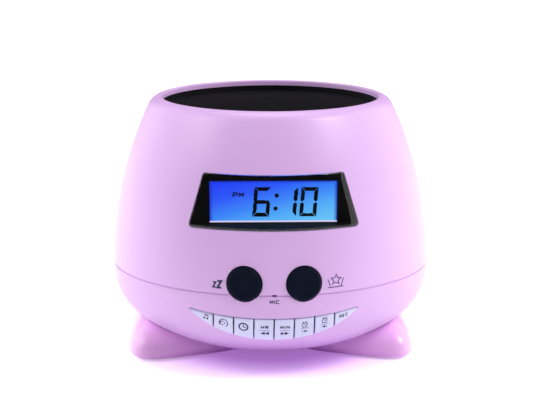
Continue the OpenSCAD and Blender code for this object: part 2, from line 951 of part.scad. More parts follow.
// Half section of the cup: a cone inside, with a step that the star mask lies on.
module lamp_cup_section() {
    hole_r = lamp_r + fit_gap;
    step_r = mask_r + fit_gap / 2;
    floor_z = housing_low_z + lamp_housing_t;
    polygon([[hole_r, housing_low_z], [lamp_housing_r, housing_low_z], [lamp_housing_r, clamp_low_z],
        [step_r, clamp_low_z], [step_r, lamp_housing_top], [mask_r - lamp_housing_t, lamp_housing_top],
        [lamp_board_r - lamp_housing_t, floor_z], [hole_r, floor_z]]);
}

// A ring that clamps the window, arms, and a cup that holds the lamp, mask and lens.
module lamp_housing() {
    clamp_r = window_bore_r - 2 * fit_gap;
    arm_start = lamp_housing_r - lamp_housing_t / 4;
    color("white")
        difference() {
            union() {
                rotate_extrude($fn = case_fn) lamp_cup_section();
                rotate_extrude($fn = case_fn) translate([clamp_r - lamp_housing_t, plate_low_z])
                    square([lamp_housing_t, window_under_z - plate_low_z]);
                at_arms() translate([0, 0, plate_low_z]) {
                    translate([arm_start - arm_screw_r, -arm_w / 2, 0])
                        cube([arm_screw_r - arm_start, arm_w, lamp_housing_t]);
                    cylinder(r = arm_end_r, h = lamp_housing_t);
                }
            }
            at_arms() cylinder(r = small_screw_r, h = body_h);
        }
}

module lamp_housing_screws() {
    color("silver")
        at_arms() translate([0, 0, plate_low_z]) small_screw(lamp_housing_t);
}

module lamp_board() {
    color("gainsboro")
        translate([0, 0, housing_low_z - board_t]) cylinder(r = lamp_board_r, h = board_t);
}

module lamp() {
    color("lightyellow")
        translate([0, 0, housing_low_z]) {
            cylinder(r = lamp_r, h = lamp_h - lamp_r / 2);
            translate([0, 0, lamp_h - lamp_r]) intersection() {
                sphere(lamp_r);
                cylinder(r = lamp_r, h = lamp_r);
            }
        }
}

star_points = 5;
star_waist = 0.42;
large_star = 1.6;

module star(r) {
    polygon([for (i = [0:2 * star_points - 1]) let (a = 90 + 180 * i / star_points)
        (i % 2 == 0 ? r : star_waist * r) * [cos(a), sin(a)]]);
}

module star_mask() {
    color("#2a2a2e")
        difference() {
            translate([0, 0, clamp_low_z - star_mask_t]) cylinder(r = mask_r, h = star_mask_t, $fn = case_fn);
            for (i = [0:star_count - 1]) rotate([0, 0, 360 * i / star_count])
                translate([mask_r / 2 + (i % 2) * star_r, 0, 0]) linear_extrude(body_h) star(star_r);
            linear_extrude(body_h) star(large_star * star_r);
        }
}

module projector_lens() {
    cap_r = (pow(mask_r, 2) + pow(lens_h, 2)) / (2 * lens_h);
    color("#dfe8ef")
        translate([0, 0, clamp_low_z])
            intersection() {
                translate([0, 0, lens_h - cap_r]) sphere(cap_r, $fn = large_fn);
                cylinder(r = mask_r, h = lens_h + sliver, $fn = case_fn);
            }
}

// ---- Speaker ----

speaker_z = ground_clearance + wall + basket_t;

// Ring on the bowl's floor that the speaker stands in.
module speaker_seat() {
    difference() {
        intersection() {
            cylinder(r = speaker_r + fit_gap + speaker_wall_t, h = speaker_z + 3 * basket_t, $fn = case_fn);
            case_form(wall / 2);
        }
        cylinder(r = speaker_r - 2 * basket_t, h = body_h, $fn = case_fn);
        translate([0, 0, speaker_z]) cylinder(r = speaker_r + fit_gap, h = body_h, $fn = case_fn);
    }
}

module grille() {
    cylinder(r = grille_hole_r, h = speaker_z);
    for (ring = [1:grille_rings]) for (i = [0:6 * ring - 1])
        rotate([0, 0, 60 * i / ring]) translate([ring * grille_pitch, 0, 0])
            cylinder(r = grille_hole_r, h = speaker_z);
}

module speaker_basket() {
    color("dimgray")
        translate([0, 0, speaker_z])
            rotate_extrude($fn = case_fn) difference() {
                polygon([[speaker_r - 3 * basket_t, 0], [speaker_r, 0], [speaker_r, basket_t],
                    [speaker_r - basket_t, basket_t], [magnet_r, basket_h], [0, basket_h],
                    [0, basket_h - basket_t], [magnet_r - basket_t, basket_h - basket_t],
                    [speaker_r - 3 * basket_t, basket_t]]);
            }
}

module speaker_cone() {
    cone_r = speaker_r - 3 * basket_t - fit_gap;
    coil_r = magnet_r / 2;
    cone_h = basket_h / 2;
    color("#2b2b2e")
        translate([0, 0, speaker_z])
            rotate_extrude($fn = case_fn)
                polygon([[coil_r, cone_h], [cone_r, 0], [cone_r, basket_t / 2], [coil_r, cone_h + basket_t / 2],
                    [coil_r, basket_h - basket_t - fit_gap], [coil_r - basket_t / 2, basket_h - basket_t - fit_gap],
                    [coil_r - basket_t / 2, cone_h + basket_t / 2], [0, cone_h + basket_t / 2], [0, cone_h]]);
}

module speaker_magnet() {
    color("#4a4c50")
        translate([0, 0, speaker_z + basket_h]) cylinder(r = magnet_r, h = magnet_h);
}

// ---- Batteries ----

cell_r = cell_d / 2;
cell_count = 3;
cavity_half_w = cell_l / 2 + contact_space;
cavity_h = (cell_count - 1) * cell_pitch + cell_d + 2 * fit_gap;
cavity_low_z = door_bottom_z + door_ledge + door_screw_band;
door_top_z = cavity_low_z + cavity_h + door_ledge;
door_half_w = cavity_half_w + door_ledge;
cell_y = case_y(cell_l / 2, cavity_low_z + cavity_h, wall + 2 * fit_gap) - cell_r;
box_floor_y = cell_y - cell_r - fit_gap;

module door_outline(grow = 0) {
    low = door_bottom_z + door_corner_r;
    high = door_top_z - door_corner_r;
    x = door_half_w - door_corner_r;
    rounded_outline([[-x, low], [x, low], [x, high], [-x, high]], door_corner_r + grow);
}

module door_prism(grow = 0) {
    rotate([-90, 0, 0]) mirror([0, 1, 0]) linear_extrude(reach) door_outline(grow);
}

module door_tab_boxes(top, grow = 0) {
    low = door_top_z - 2 * door_ledge - grow;
    for (side = [-1, 1])
        translate([side * door_tab_x - door_tab_w / 2 - grow, 0, low])
            cube([door_tab_w + 2 * grow, body_r, top + grow - low]);
}

// Each tab steps in below the wall and hooks behind the shell above the opening.
module door_tabs() {
    intersection() {
        case_layer(wall + fit_gap, wall + fit_gap + door_tab_t);
        door_tab_boxes(door_top_z + door_tab_reach);
    }
    intersection() {
        case_layer(wall / 2, wall + fit_gap + door_tab_t);
        door_tab_boxes(door_top_z - door_ledge / 2);
    }
}

module door_screw_place() {
    translate([0, case_y(0, door_bottom_z + door_screw_band / 2), door_bottom_z + door_screw_band / 2])
        rotate([90, 0, 0]) children();
}

door_screw_head_r = 2 * small_screw_r;

module battery_door() {
    color("#e8c2f6")
        difference() {
            union() {
                intersection() {
                    case_layer(0, wall);
                    door_prism(-fit_gap);
                }
                door_tabs();
            }
            door_screw_place() translate([0, 0, -body_r]) cylinder(r = door_screw_head_r + fit_gap,
                h = body_r + wall / 2);
            door_screw_place() cylinder(r = small_screw_r + fit_gap, h = body_r);
        }
}

module door_screw() {
    color("silver")
        door_screw_place() {
            translate([0, 0, fit_gap]) cylinder(r = door_screw_head_r, h = wall / 2 - fit_gap);
            translate([0, 0, wall / 2]) cylinder(r = small_screw_r - fit_gap / 2, h = wall / 2 + screw_bite);
        }
}

module battery_box() {
    color("#f3eef6")
        difference() {
            intersection() {
                case_form(wall);
                door_prism(box_wall - door_ledge);
                translate([-body_r, box_floor_y - box_wall, 0]) cube([2 * body_r, body_r, body_h]);
            }
            translate([-cavity_half_w, box_floor_y, cavity_low_z])
                cube([2 * cavity_half_w, body_r, cavity_h]);
            intersection() {
                case_layer(0, wall + 2 * fit_gap + door_tab_t);
                door_tab_boxes(door_top_z + door_tab_reach, fit_gap);
            }
            door_screw_place() cylinder(r = small_screw_r, h = wall + screw_bite + fit_gap);
        }
}

module at_cells() {
    for (i = [0:cell_count - 1])
        translate([0, cell_y, cavity_low_z + fit_gap + cell_r + i * cell_pitch]) children();
}

terminal_r = 2.6;
terminal_h = 1;

module batteries() {
    color("#3c6e47")
        at_cells() rotate([0, 90, 0]) {
            translate([0, 0, -cell_l / 2]) cylinder(r = cell_r, h = cell_l - terminal_h);
            translate([0, 0, cell_l / 2 - terminal_h]) cylinder(r = terminal_r, h = terminal_h);
        }
}

contact_w = 9;
spring_r = 3.5;

module battery_contacts() {
    color("silver")
        at_cells() for (side = [-1, 1]) {
            translate([side * (cavity_half_w - contact_t / 2), 0, 0]) cube([contact_t, contact_w, contact_w], center = true);
            rotate([0, side * 90, 0]) translate([0, 0, cell_l / 2])
                cylinder(r1 = spring_r / 2, r2 = spring_r, h = contact_space - contact_t);
        }
}

// ---- Feet ----

foot_rings = 12;
foot_sides = 72;
foot_low_a = -90;
foot_high_a = 66;

// One ring of the foot: a fan-shaped outline that shrinks towards the sole and the crown.
function foot_ring_size(a) = a < 0 ? foot_sole + (1 - foot_sole) * cos(a) : cos(a);
function foot_ring_z(a) = a < 0 ? pad_proud + (foot_edge_z - pad_proud) * (1 + sin(a))
    : foot_edge_z + (foot_crown_z - foot_edge_z) * sin(a);
function foot_outline(a) =
    let (reach_a = pow(pow(abs(cos(a)), foot_square) + pow(abs(sin(a)), foot_square), -1 / foot_square))
    let (outward = reach_a * cos(a), sideways = reach_a * sin(a))
    [-foot_half_l * outward, foot_half_w * (1 + foot_fan * outward) * sideways];

function foot_points() = [for (ring = [0:foot_rings - 1])
    let (a = foot_low_a + (foot_high_a - foot_low_a) * ring / (foot_rings - 1))
    for (i = [0:foot_sides - 1]) let (p = foot_ring_size(a) * foot_outline(-360 * i / foot_sides))
        [p[0] - foot_x, p[1], foot_ring_z(a)]];

function foot_faces() = concat(
    [[for (i = [0:foot_sides - 1]) i]],
    [[for (i = [0:foot_sides - 1]) foot_rings * foot_sides - 1 - i]],
    [for (ring = [0:foot_rings - 2]) for (i = [0:foot_sides - 1])
        let (next = (i + 1) % foot_sides, low = ring * foot_sides, high = low + foot_sides)
        for (face = [[low + i, high + i, high + next], [low + i, high + next, low + next]]) face]);

module at_pads() {
    for (side = [-1, 1]) translate([-pad_x, side * pad_y, 0]) children();
}

module foot() {
    color("#e3a7e3")
        difference() {
            polyhedron(foot_points(), foot_faces());
            case_form(-foot_gap);
            at_pads() cylinder(r = pad_r + fit_gap, h = pad_t + sliver);
            at_case_screws() {
                cylinder(r = case_screw_r + fit_gap, h = body_h);
                cylinder(r = head_r + 2 * fit_gap, h = head_recess);
            }
        }
}

module left_foot() {
    foot();
}

module right_foot() {
    mirror([1, 0, 0]) foot();
}

module foot_pads() {
    color("#4b4450")
        for (side = [0, 1]) mirror([side, 0, 0]) at_pads() cylinder(r = pad_r, h = pad_t);
}

upper_shell();
lower_shell();
left_foot();
right_foot();
foot_pads();
case_screws();
top_window();
lamp_housing();
lamp_housing_screws();
lamp_board();
lamp();
star_mask();
projector_lens();
display_lens();
display_frame();
lcd_panel();
lcd_backlight();
lcd_connectors();
main_board();
board_parts();
board_screws();
button_switches();
snooze_button();
projector_button();
microphone();
microphone_grommet();
music_key();
night_key();
clock_key();
hour_key();
minute_key();
alarm_one_key();
alarm_two_key();
record_key();
key_sheet();
key_board();
speaker_basket();
speaker_cone();
speaker_magnet();
battery_box();
batteries();
battery_contacts();
battery_door();
door_screw();
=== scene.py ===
import math

import bmesh
import bpy
from mathutils import Matrix, Vector


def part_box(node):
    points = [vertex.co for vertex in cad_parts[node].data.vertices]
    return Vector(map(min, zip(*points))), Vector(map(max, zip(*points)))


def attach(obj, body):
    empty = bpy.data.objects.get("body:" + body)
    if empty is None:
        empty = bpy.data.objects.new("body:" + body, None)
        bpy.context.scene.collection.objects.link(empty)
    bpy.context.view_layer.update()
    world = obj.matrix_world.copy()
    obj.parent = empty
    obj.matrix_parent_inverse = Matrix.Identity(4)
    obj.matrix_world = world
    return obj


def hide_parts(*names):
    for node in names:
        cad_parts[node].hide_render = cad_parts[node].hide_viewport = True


# Kids alarm clock with night light. Lengths are in millimetres until a point is put in a mesh.
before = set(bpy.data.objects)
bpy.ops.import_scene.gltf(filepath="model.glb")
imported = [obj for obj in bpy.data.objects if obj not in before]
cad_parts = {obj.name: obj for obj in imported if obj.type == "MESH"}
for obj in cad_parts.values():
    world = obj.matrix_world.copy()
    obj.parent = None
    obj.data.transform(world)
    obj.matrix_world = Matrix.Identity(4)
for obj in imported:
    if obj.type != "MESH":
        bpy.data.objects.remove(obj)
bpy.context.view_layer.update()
bpy.ops.object.select_all(action="DESELECT")
MM = 0.001

# ---- The bowl's form: four arcs round an upright axis ----
BODY_R, BODY_H, EQUATOR, SEAM = 75.0, 120.0, 39.5, 41.7
UPPER_R, SIDE_R, LIP_R = 178.0, 27.0, 7.0
FLAT_R, CLEARANCE, WALL = 17.7, 3.0, 2.5
UPPER_X = BODY_R - UPPER_R
SIDE_X = BODY_R - SIDE_R
BELLY_RUN, BELLY_RISE = SIDE_X - FLAT_R, EQUATOR - CLEARANCE
BELLY_R = (BELLY_RUN ** 2 + BELLY_RISE ** 2 - SIDE_R ** 2) / (2 * (BELLY_RISE - SIDE_R))
BELLY_Z = CLEARANCE + BELLY_R
BELLY_END = math.atan2(EQUATOR - BELLY_Z, SIDE_X - FLAT_R)
LIP_Z = BODY_H - LIP_R
LIP_X = UPPER_X + math.sqrt((UPPER_R - LIP_R) ** 2 - (LIP_Z - EQUATOR) ** 2)
LIP_START = math.atan2(LIP_Z - EQUATOR, LIP_X - UPPER_X)
OPENING_R, RIM_T, FIT = 51.0, 1.4, 0.15
RIM_Z, WINDOW_Z, WINDOW_LOW_Z, COLLAR_LOW_Z = 117.3, 114.7, 112.7, 110.5
ROUND_STEPS, HALVINGS = 256, 26
SMOOTH_BELOW = math.radians(32)


def case_r(z, inset=0.0):
    """Radius of the bowl at height z, on a surface that lies inset below its outside."""
    if z >= EQUATOR:
        return UPPER_X + math.sqrt(max((UPPER_R - inset) ** 2 - (z - EQUATOR) ** 2, 0))
    if z >= BELLY_Z + BELLY_R * math.sin(BELLY_END):
        return SIDE_X + math.sqrt(max((SIDE_R - inset) ** 2 - (z - EQUATOR) ** 2, 0))
    return FLAT_R + math.sqrt(max((BELLY_R - inset) ** 2 - (z - BELLY_Z) ** 2, 0))


def arc(x, z, radius, start, end, count):
    """Points on an arc in the half section, from one angle to the other."""
    turns = [start + (end - start) * i / count for i in range(count + 1)]
    return [(x + radius * math.cos(a), z + radius * math.sin(a)) for a in turns]


class Face:
    """A flat drawing frame that looks at the bowl: across, up and outward from an origin."""

    def __init__(self, origin, across, up, outward, reach):
        self.origin, self.across, self.up, self.outward = map(Vector, (origin, across, up, outward))
        self.reach = reach

    def on_case(self, u, w, inset):
        """The point of the bowl at a place of the drawing, inset below the outside."""
        base = self.origin + u * self.across + w * self.up
        low, high = self.reach
        for _ in range(HALVINGS):
            middle = (low + high) / 2
            p = base + middle * self.outward
            if math.hypot(p.x, p.y) < case_r(p.z, inset):
                low = middle
            else:
                high = middle
        return base + low * self.outward


TILT = math.radians(33.5)
STRIP_Y = -(SIDE_X + SIDE_R * math.cos(TILT))
STRIP_Z = EQUATOR - SIDE_R * math.sin(TILT)
BUTTON_X, BUTTON_Z, BUTTON_R, BUTTON_GAP = 13.2, 46.9, 7.7, 0.35
BUTTON_TURN = math.asin(BUTTON_X / case_r(BUTTON_Z))


def button_face(side):
    turn = side * BUTTON_TURN
    return Face((0, 0, BUTTON_Z), (math.cos(turn), math.sin(turn), 0), (0, 0, 1),
                (math.sin(turn), -math.cos(turn), 0), (40, 90))


FRONT = Face((0, 0, 0), (1, 0, 0), (0, 0, 1), (0, -1, 0), (0, 90))
BACK = Face((0, 0, 0), (-1, 0, 0), (0, 0, 1), (0, 1, 0), (0, 90))
STRIP = Face((0, STRIP_Y, STRIP_Z), (1, 0, 0), (0, -math.sin(TILT), math.cos(TILT)),
             (0, -math.cos(TILT), -math.sin(TILT)), (-25, 12))

# ---- Modelling steps ----


def picked(piece):
    bpy.ops.object.select_all(action="DESELECT")
    piece.select_set(True)
    bpy.context.view_layer.objects.active = piece


def edit(piece):
    picked(piece)
    bpy.ops.object.mode_set(mode="EDIT")
    return bmesh.from_edit_mesh(piece.data)


def leave_edit():
    bpy.ops.object.mode_set(mode="OBJECT")


def cleaned(piece, name, merge=0.001):
    """Merges doubles, turns the faces outwards, names the piece and shades its round faces smooth."""
    edit(piece)
    bpy.ops.mesh.select_all(action="SELECT")
    bpy.ops.mesh.remove_doubles(threshold=merge * MM)
    bpy.ops.mesh.normals_make_consistent(inside=False)
    leave_edit()
    piece.name = name
    picked(piece)
    bpy.ops.object.shade_smooth_by_angle(angle=SMOOTH_BELOW)
    return piece


def loop_piece(name, rings, start="face", end="face"):
    """Extrudes one loop of edges from ring to ring, and closes both ends with a face or a pole."""
    bpy.ops.mesh.primitive_circle_add(vertices=len(rings[0]))
    piece = bpy.context.object
    mesh = edit(piece)
    mesh.verts.ensure_lookup_table()
    order = mesh.verts.layers.int.new("order")
    for i, v in enumerate(mesh.verts):
        v[order] = i
    for k, ring in enumerate(rings):
        if k:
            bpy.ops.mesh.extrude_region_move()
        mesh = bmesh.from_edit_mesh(piece.data)
        order = mesh.verts.layers.int["order"]
        for v in mesh.verts:
            if v.select:
                v.co = Vector(ring[v[order]]) * MM
        bmesh.update_edit_mesh(piece.data)
    close_loop(end)
    bpy.ops.mesh.select_all(action="DESELECT")
    mesh = bmesh.from_edit_mesh(piece.data)
    for e in mesh.edges:
        if e.is_boundary:
            e.select_set(True)
    mesh.select_flush_mode()
    if any(e.select for e in mesh.edges):
        close_loop(start)
    leave_edit()
    return cleaned(piece, name)


def close_loop(how):
    if how == "face":
        bpy.ops.mesh.edge_face_add()
    else:
        bpy.ops.mesh.merge(type="CENTER")


def spun(name, outline, steps=ROUND_STEPS, loop=True):
    """Spins a half section round the upright axis. An open outline starts and ends on the axis."""
    bpy.ops.mesh.primitive_circle_add(vertices=len(outline))
    piece = bpy.context.object
    mesh = edit(piece)
    mesh.verts.ensure_lookup_table()
    for v, (r, z) in zip(mesh.verts, outline):
        v.co = Vector((r, 0, z)) * MM
    if not loop:
        ends = {mesh.verts[0], mesh.verts[len(outline) - 1]}
        bmesh.ops.delete(mesh, geom=[e for e in mesh.edges if set(e.verts) == ends], context="EDGES")
    bmesh.update_edit_mesh(piece.data)
    bpy.ops.mesh.select_all(action="SELECT")
    bpy.ops.mesh.spin(steps=steps, angle=math.tau, center=(0, 0, 0), axis=(0, 0, 1))
    leave_edit()
    return cleaned(piece, name)


def place(piece, matrix):
    """Puts a piece that was modelled at the origin in its place, in its mesh."""
    turn = Matrix(matrix).to_4x4()
    turn.translation *= MM
    piece.data.transform(turn)
    piece.data.update()
    return piece


def facing(face, out=0.0):
    """The matrix from a drawing frame, out along its outward axis, to the object."""
    m = Matrix((face.across, face.up, face.outward)).transposed().to_4x4()
    m.translation = face.origin + out * face.outward
    return m


def joined(name, *parts):
    picked(parts[0])
    for part in parts:
        part.select_set(True)
    bpy.ops.object.join()
    parts[0].name = name
    return parts[0]


def carve(piece, cutter, how="DIFFERENCE"):
    """Applies one boolean and removes its cutter."""
    picked(piece)
    step = piece.modifiers.new("carve", "BOOLEAN")
    step.operation, step.object, step.solver = how, cutter, "EXACT"
    bpy.ops.object.modifier_apply(modifier=step.name)
    bpy.data.objects.remove(cutter)
    return cleaned(piece, piece.name, merge=0.002)


# ---- Outlines ----


NEAR_HALF = 0.49  # of a side at most, so that two round corners never meet


def fillet(corners, radius, gap=1.2, steps=8):
    """A closed outline with round corners and points along its straight sides."""
    points = []
    count = len(corners)
    for i in range(count):
        before, corner, after = (Vector(corners[j % count]) for j in (i - 1, i, i + 1))
        a, b = (before - corner).normalized(), (after - corner).normalized()
        half = a.angle(b) / 2
        room = min(NEAR_HALF * (before - corner).length, NEAR_HALF * (after - corner).length)
        back = min(radius / math.tan(half), room)
        r = back * math.tan(half)
        centre = corner + (a + b).normalized() * r / math.sin(half)
        start, end = corner + a * back - centre, corner + b * back - centre
        swing = start.angle_signed(end)
        for k in range(steps + 1):
            turn = -swing * k / steps
            points.append(centre + Matrix.Rotation(turn, 2) @ start)
    spaced = []
    for p, q in zip(points, points[1:] + points[:1]):
        parts = max(1, round((q - p).length / gap))
        spaced += [p.lerp(q, k / parts) for k in range(parts)]
    return [tuple(p) for p in spaced]


def shrink(outline, by):
    """The outline moved inwards by a distance, or outwards where it is negative."""
    points = [Vector(p) for p in outline]
    moved = []
    for i, p in enumerate(points):
        along = (points[(i + 1) % len(points)] - points[i - 1]).normalized()
        moved.append(tuple(p + by * Vector((-along.y, along.x))))
    return moved


def towards(outline, centre, share):
    c = Vector(centre)
    return [tuple(c + (Vector(p) - c) * share) for p in outline]


def circle(radius, count=72):
    turns = [math.tau * i / count for i in range(count)]
    return [(radius * math.cos(a), radius * math.sin(a)) for a in turns]


def box_corners(half_w, low, high):
    return [(-half_w, low), (half_w, low), (half_w, high), (-half_w, high)]


def ring_on(face, outline, inset):
    return [face.on_case(u, w, inset) for u, w in outline]


def level_ring(face, outline, out):
    """The outline in a flat plane of its drawing frame."""
    return [face.origin + u * face.across + w * face.up + out * face.outward for u, w in outline]


# How far a quarter round of radius 1 falls back after 30 degrees, and how far after 60.
SOON, LATE = 0.134, 0.5
FLARE, FLARE_RISE = 1.7, 2.0
CUT_DEPTH, CUT_PAST_OUTSIDE, CUT_PAST_INSIDE = 4.0, 3, 0.5
RING_SHARES = (0.86, 0.7, 0.52, 0.34, 0.16)


def opening(face, outline, edge):
    """A cutter for an opening through the bowl's wall, with a rounded outer edge and flat ends."""
    steps = [(-FLARE, -FLARE_RISE), (-LATE, SOON), (-SOON, LATE), (0, 1)]
    rings = [ring_on(face, shrink(outline, grow * edge), inset * edge) for grow, inset in steps]
    inner = ring_on(face, outline, CUT_DEPTH)
    high = max((p - face.origin).dot(face.outward) for p in rings[0]) + CUT_PAST_OUTSIDE
    low = min((p - face.origin).dot(face.outward) for p in inner) - CUT_PAST_INSIDE
    first = level_ring(face, shrink(outline, -FLARE * edge), high)
    return loop_piece("opening", [first] + rings + [inner, level_ring(face, outline, low)])


def panel(name, face, outline, centre, top, depth, edge):
    """A piece that fills an opening and follows the bowl, with its face at the inset top."""
    steps = [(0, depth), (0, top + edge), (SOON, top + LATE * edge), (LATE, top + SOON * edge), (1, top)]
    rings = [ring_on(face, shrink(outline, edge * grow) if grow else outline, inset) for grow, inset in steps]
    last = shrink(outline, edge)
    front = [ring_on(face, towards(last, centre, share), top) for share in RING_SHARES]
    back = [ring_on(face, towards(outline, centre, share), depth) for share in reversed(RING_SHARES)]
    return loop_piece(name, back + rings + front, "pole", "pole")


# ---- Materials ----


def linear(hexadecimal):
    """An sRGB hex colour as linear RGBA."""
    levels = [int(hexadecimal[i:i + 2], 16) / 255 for i in (1, 3, 5)]
    return tuple(v / 12.92 if v <= 0.04045 else ((v + 0.055) / 1.055) ** 2.4 for v in levels) + (1.0,)


def add_node(tree, kind, inputs=None, **settings):
    """Adds a node with its settings; an input is a value or another node's output."""
    made = tree.nodes.new(kind)
    for setting, value in settings.items():
        setattr(made, setting, value)
    for socket, value in (inputs or {}).items():
        if isinstance(value, bpy.types.NodeSocket):
            tree.links.new(value, made.inputs[socket])
        else:
            made.inputs[socket].default_value = value
    return made


def new_material(name, **sockets):
    made = bpy.data.materials.new(name)
    made.use_nodes = True
    shader = made.node_tree.nodes["Principled BSDF"]
    for socket, value in sockets.items():
        shader.inputs[socket.replace("_", " ")].default_value = value
    return made, made.node_tree, shader


def moulded(name, colour, shade, grain, relief, rough=(0.35, 0.42), drift=30.0, **sockets):
    """A moulded or cast surface: the colour drifts to shade over drift mm, and the mould's grain,
    in mm, stands up by relief mm and changes the roughness a little."""
    made, tree, shader = new_material(name, **sockets)
    where = add_node(tree, "ShaderNodeTexCoord").outputs["Object"]
    cloud = add_node(tree, "ShaderNodeTexNoise", {"Vector": where, "Scale": 1 / (drift * MM), "Detail": 3.0})
    fine = add_node(tree, "ShaderNodeTexNoise", {"Vector": where, "Scale": 1 / (grain * MM), "Detail": 2.0})
    tint = add_node(tree, "ShaderNodeMix", {0: cloud.outputs["Fac"], 6: linear(colour), 7: linear(shade)},
                    data_type="RGBA")
    gloss = add_node(tree, "ShaderNodeMapRange",
                     {"Value": fine.outputs["Fac"], "To Min": rough[0], "To Max": rough[1]})
    bump = add_node(tree, "ShaderNodeBump", {"Height": fine.outputs["Fac"], "Distance": relief * MM})
    tree.links.new(tint.outputs[2], shader.inputs["Base Color"])
    tree.links.new(gloss.outputs["Result"], shader.inputs["Roughness"])
    tree.links.new(bump.outputs["Normal"], shader.inputs["Normal"])
    return made


# ABS, moulded in a lightly spark-eroded tool: satin, so lamps show as soft wide bands.
case_abs = moulded("satin_moulded_abs_pink_lilac", "#dcb3ea", "#d9afe7", 0.55, 0.012, (0.34, 0.42), 45)
# The feet are the same ABS in a mauve tint, from a smoother tool.
foot_abs = moulded("smooth_moulded_abs_mauve", "#fac4f9", "#f6bef6", 0.6, 0.008, (0.28, 0.36), 30,
                   Coat_Weight=0.3, Coat_Roughness=0.3)
# Smoked polycarbonate with a faint haze, dark enough to hide the lamp.
smoked_pc = moulded("smoked_polycarbonate", "#0d0e11", "#101014", 0.8, 0.004, (0.5, 0.56), 25,
                    Specular_IOR_Level=0.04)
# Matt black ABS behind the lens, which takes no light from it.
black_abs = moulded("matt_moulded_abs_black", "#050507", "#070709", 0.9, 0.003, (0.5, 0.6), 20,
                    Specular_IOR_Level=0.02)
# Soft-touch navy-black ABS of the two round buttons.
button_abs = moulded("soft_touch_abs_navy_black", "#0a111e", "#0e1426", 0.4, 0.01, (0.42, 0.5), 9,
                     Specular_IOR_Level=0.03)
# Smooth lavender-white ABS of the keys.
key_abs = moulded("smooth_moulded_abs_lavender_white", "#dcdcfa", "#d4d5f7", 0.5, 0.005, (0.28, 0.34), 12)
# Natural white ABS of the inner mouldings.
inner_abs = moulded("moulded_abs_natural_white", "#eeecec", "#e4e2e4", 0.7, 0.01, (0.42, 0.5), 20)
# Nitrile rubber, dull and a little dusty.
nitrile = moulded("moulded_nitrile_rubber", "#2a282d", "#353238", 0.5, 0.02, (0.72, 0.85), 6)
# Silicone keypad sheet.
silicone = moulded("moulded_silicone_grey", "#a9acb4", "#9da0a9", 0.6, 0.01, (0.5, 0.6), 8)
# Zinc-plated steel screws and stampings.
zinc_steel = moulded("zinc_plated_steel", "#b9bcc2", "#a7aab2", 0.3, 0.006, (0.25, 0.4), 4, Metallic=1.0)
# Sintered ferrite, nearly black and dull.
ferrite = moulded("sintered_ferrite", "#2b2c2f", "#333438", 0.4, 0.02, (0.6, 0.75), 5)
# Glass-epoxy board under green solder resist.
board_epoxy = moulded("glass_epoxy_board_green", "#0d4a28", "#115a31", 0.35, 0.006, (0.3, 0.4), 4)
# Pressed black paper of the speaker's cone.
cone_paper = moulded("pressed_cone_paper", "#1c1c1e", "#232326", 0.3, 0.03, (0.8, 0.9), 3)
# Shrunk printed film round the cells.
cell_film = moulded("shrunk_pvc_film_green", "#2f7a45", "#2a6d3e", 1.0, 0.004, (0.2, 0.28), 10)
# Warm clear epoxy of the lamp.
lamp_epoxy = moulded("cast_epoxy_lamp", "#f2ecd0", "#efe6c0", 1.0, 0.002, (0.08, 0.12), 3)
# Pad-printed navy ink, a thin satin film.
ink = moulded("pad_printed_ink_navy", "#211f55", "#1c1b4a", 0.3, 0.002, (0.45, 0.55), 3)
# Dark dye of a switched-on liquid-crystal segment.
segment_dye = moulded("liquid_crystal_segment", "#01040f", "#020817", 0.5, 0.001, (0.3, 0.36), 3,
                      Specular_IOR_Level=0.02)

# Cast acrylic, clear and polished, with a faint waviness from its mould.
clear_acrylic, tree, shader = new_material("polished_clear_acrylic", Transmission_Weight=1.0, IOR=1.49,
                                           Roughness=0.0, Base_Color=linear("#fbfcff"))
where = add_node(tree, "ShaderNodeTexCoord").outputs["Object"]
wave = add_node(tree, "ShaderNodeTexNoise", {"Vector": where, "Scale": 1 / (18 * MM)})
wavy = add_node(tree, "ShaderNodeBump", {"Height": wave.outputs["Fac"], "Distance": 0.01 * MM})
tree.links.new(wavy.outputs["Normal"], shader.inputs["Normal"])

# Liquid-crystal glass over a blue light guide: the light comes up from below, so it pales towards the
# lower right and dims at the other edges.
DIGITS_W, DIGITS_H, DIGITS_Z = 56.0, 18.8, 80.3
LIT_HALF_W, LIT_TOP, LIT_LOW = DIGITS_W / 2, DIGITS_Z + DIGITS_H / 2, DIGITS_Z - DIGITS_H / 2
SIDE_FADE, TOP_FADE = 1.6, 1.4
WHITE_LINE = (0.75, 0.55)  # where it starts and where it is full, above the lit part's lower edge
lcd_glass, tree, shader = new_material("backlit_liquid_crystal_glass", Base_Color=linear("#02060f"),
                                       Roughness=0.25, Specular_IOR_Level=0.05,
                                       Emission_Strength=1.0)
where = add_node(tree, "ShaderNodeTexCoord").outputs["Object"]
axes = add_node(tree, "ShaderNodeSeparateXYZ", {0: where})


def ranged(value, low, high, to_low=0.0, to_high=1.0):
    """A value in mm between two levels, as a share."""
    return add_node(tree, "ShaderNodeMapRange", {"Value": value, "From Min": low * MM, "From Max": high * MM,
                                                 "To Min": to_low, "To Max": to_high}).outputs["Result"]


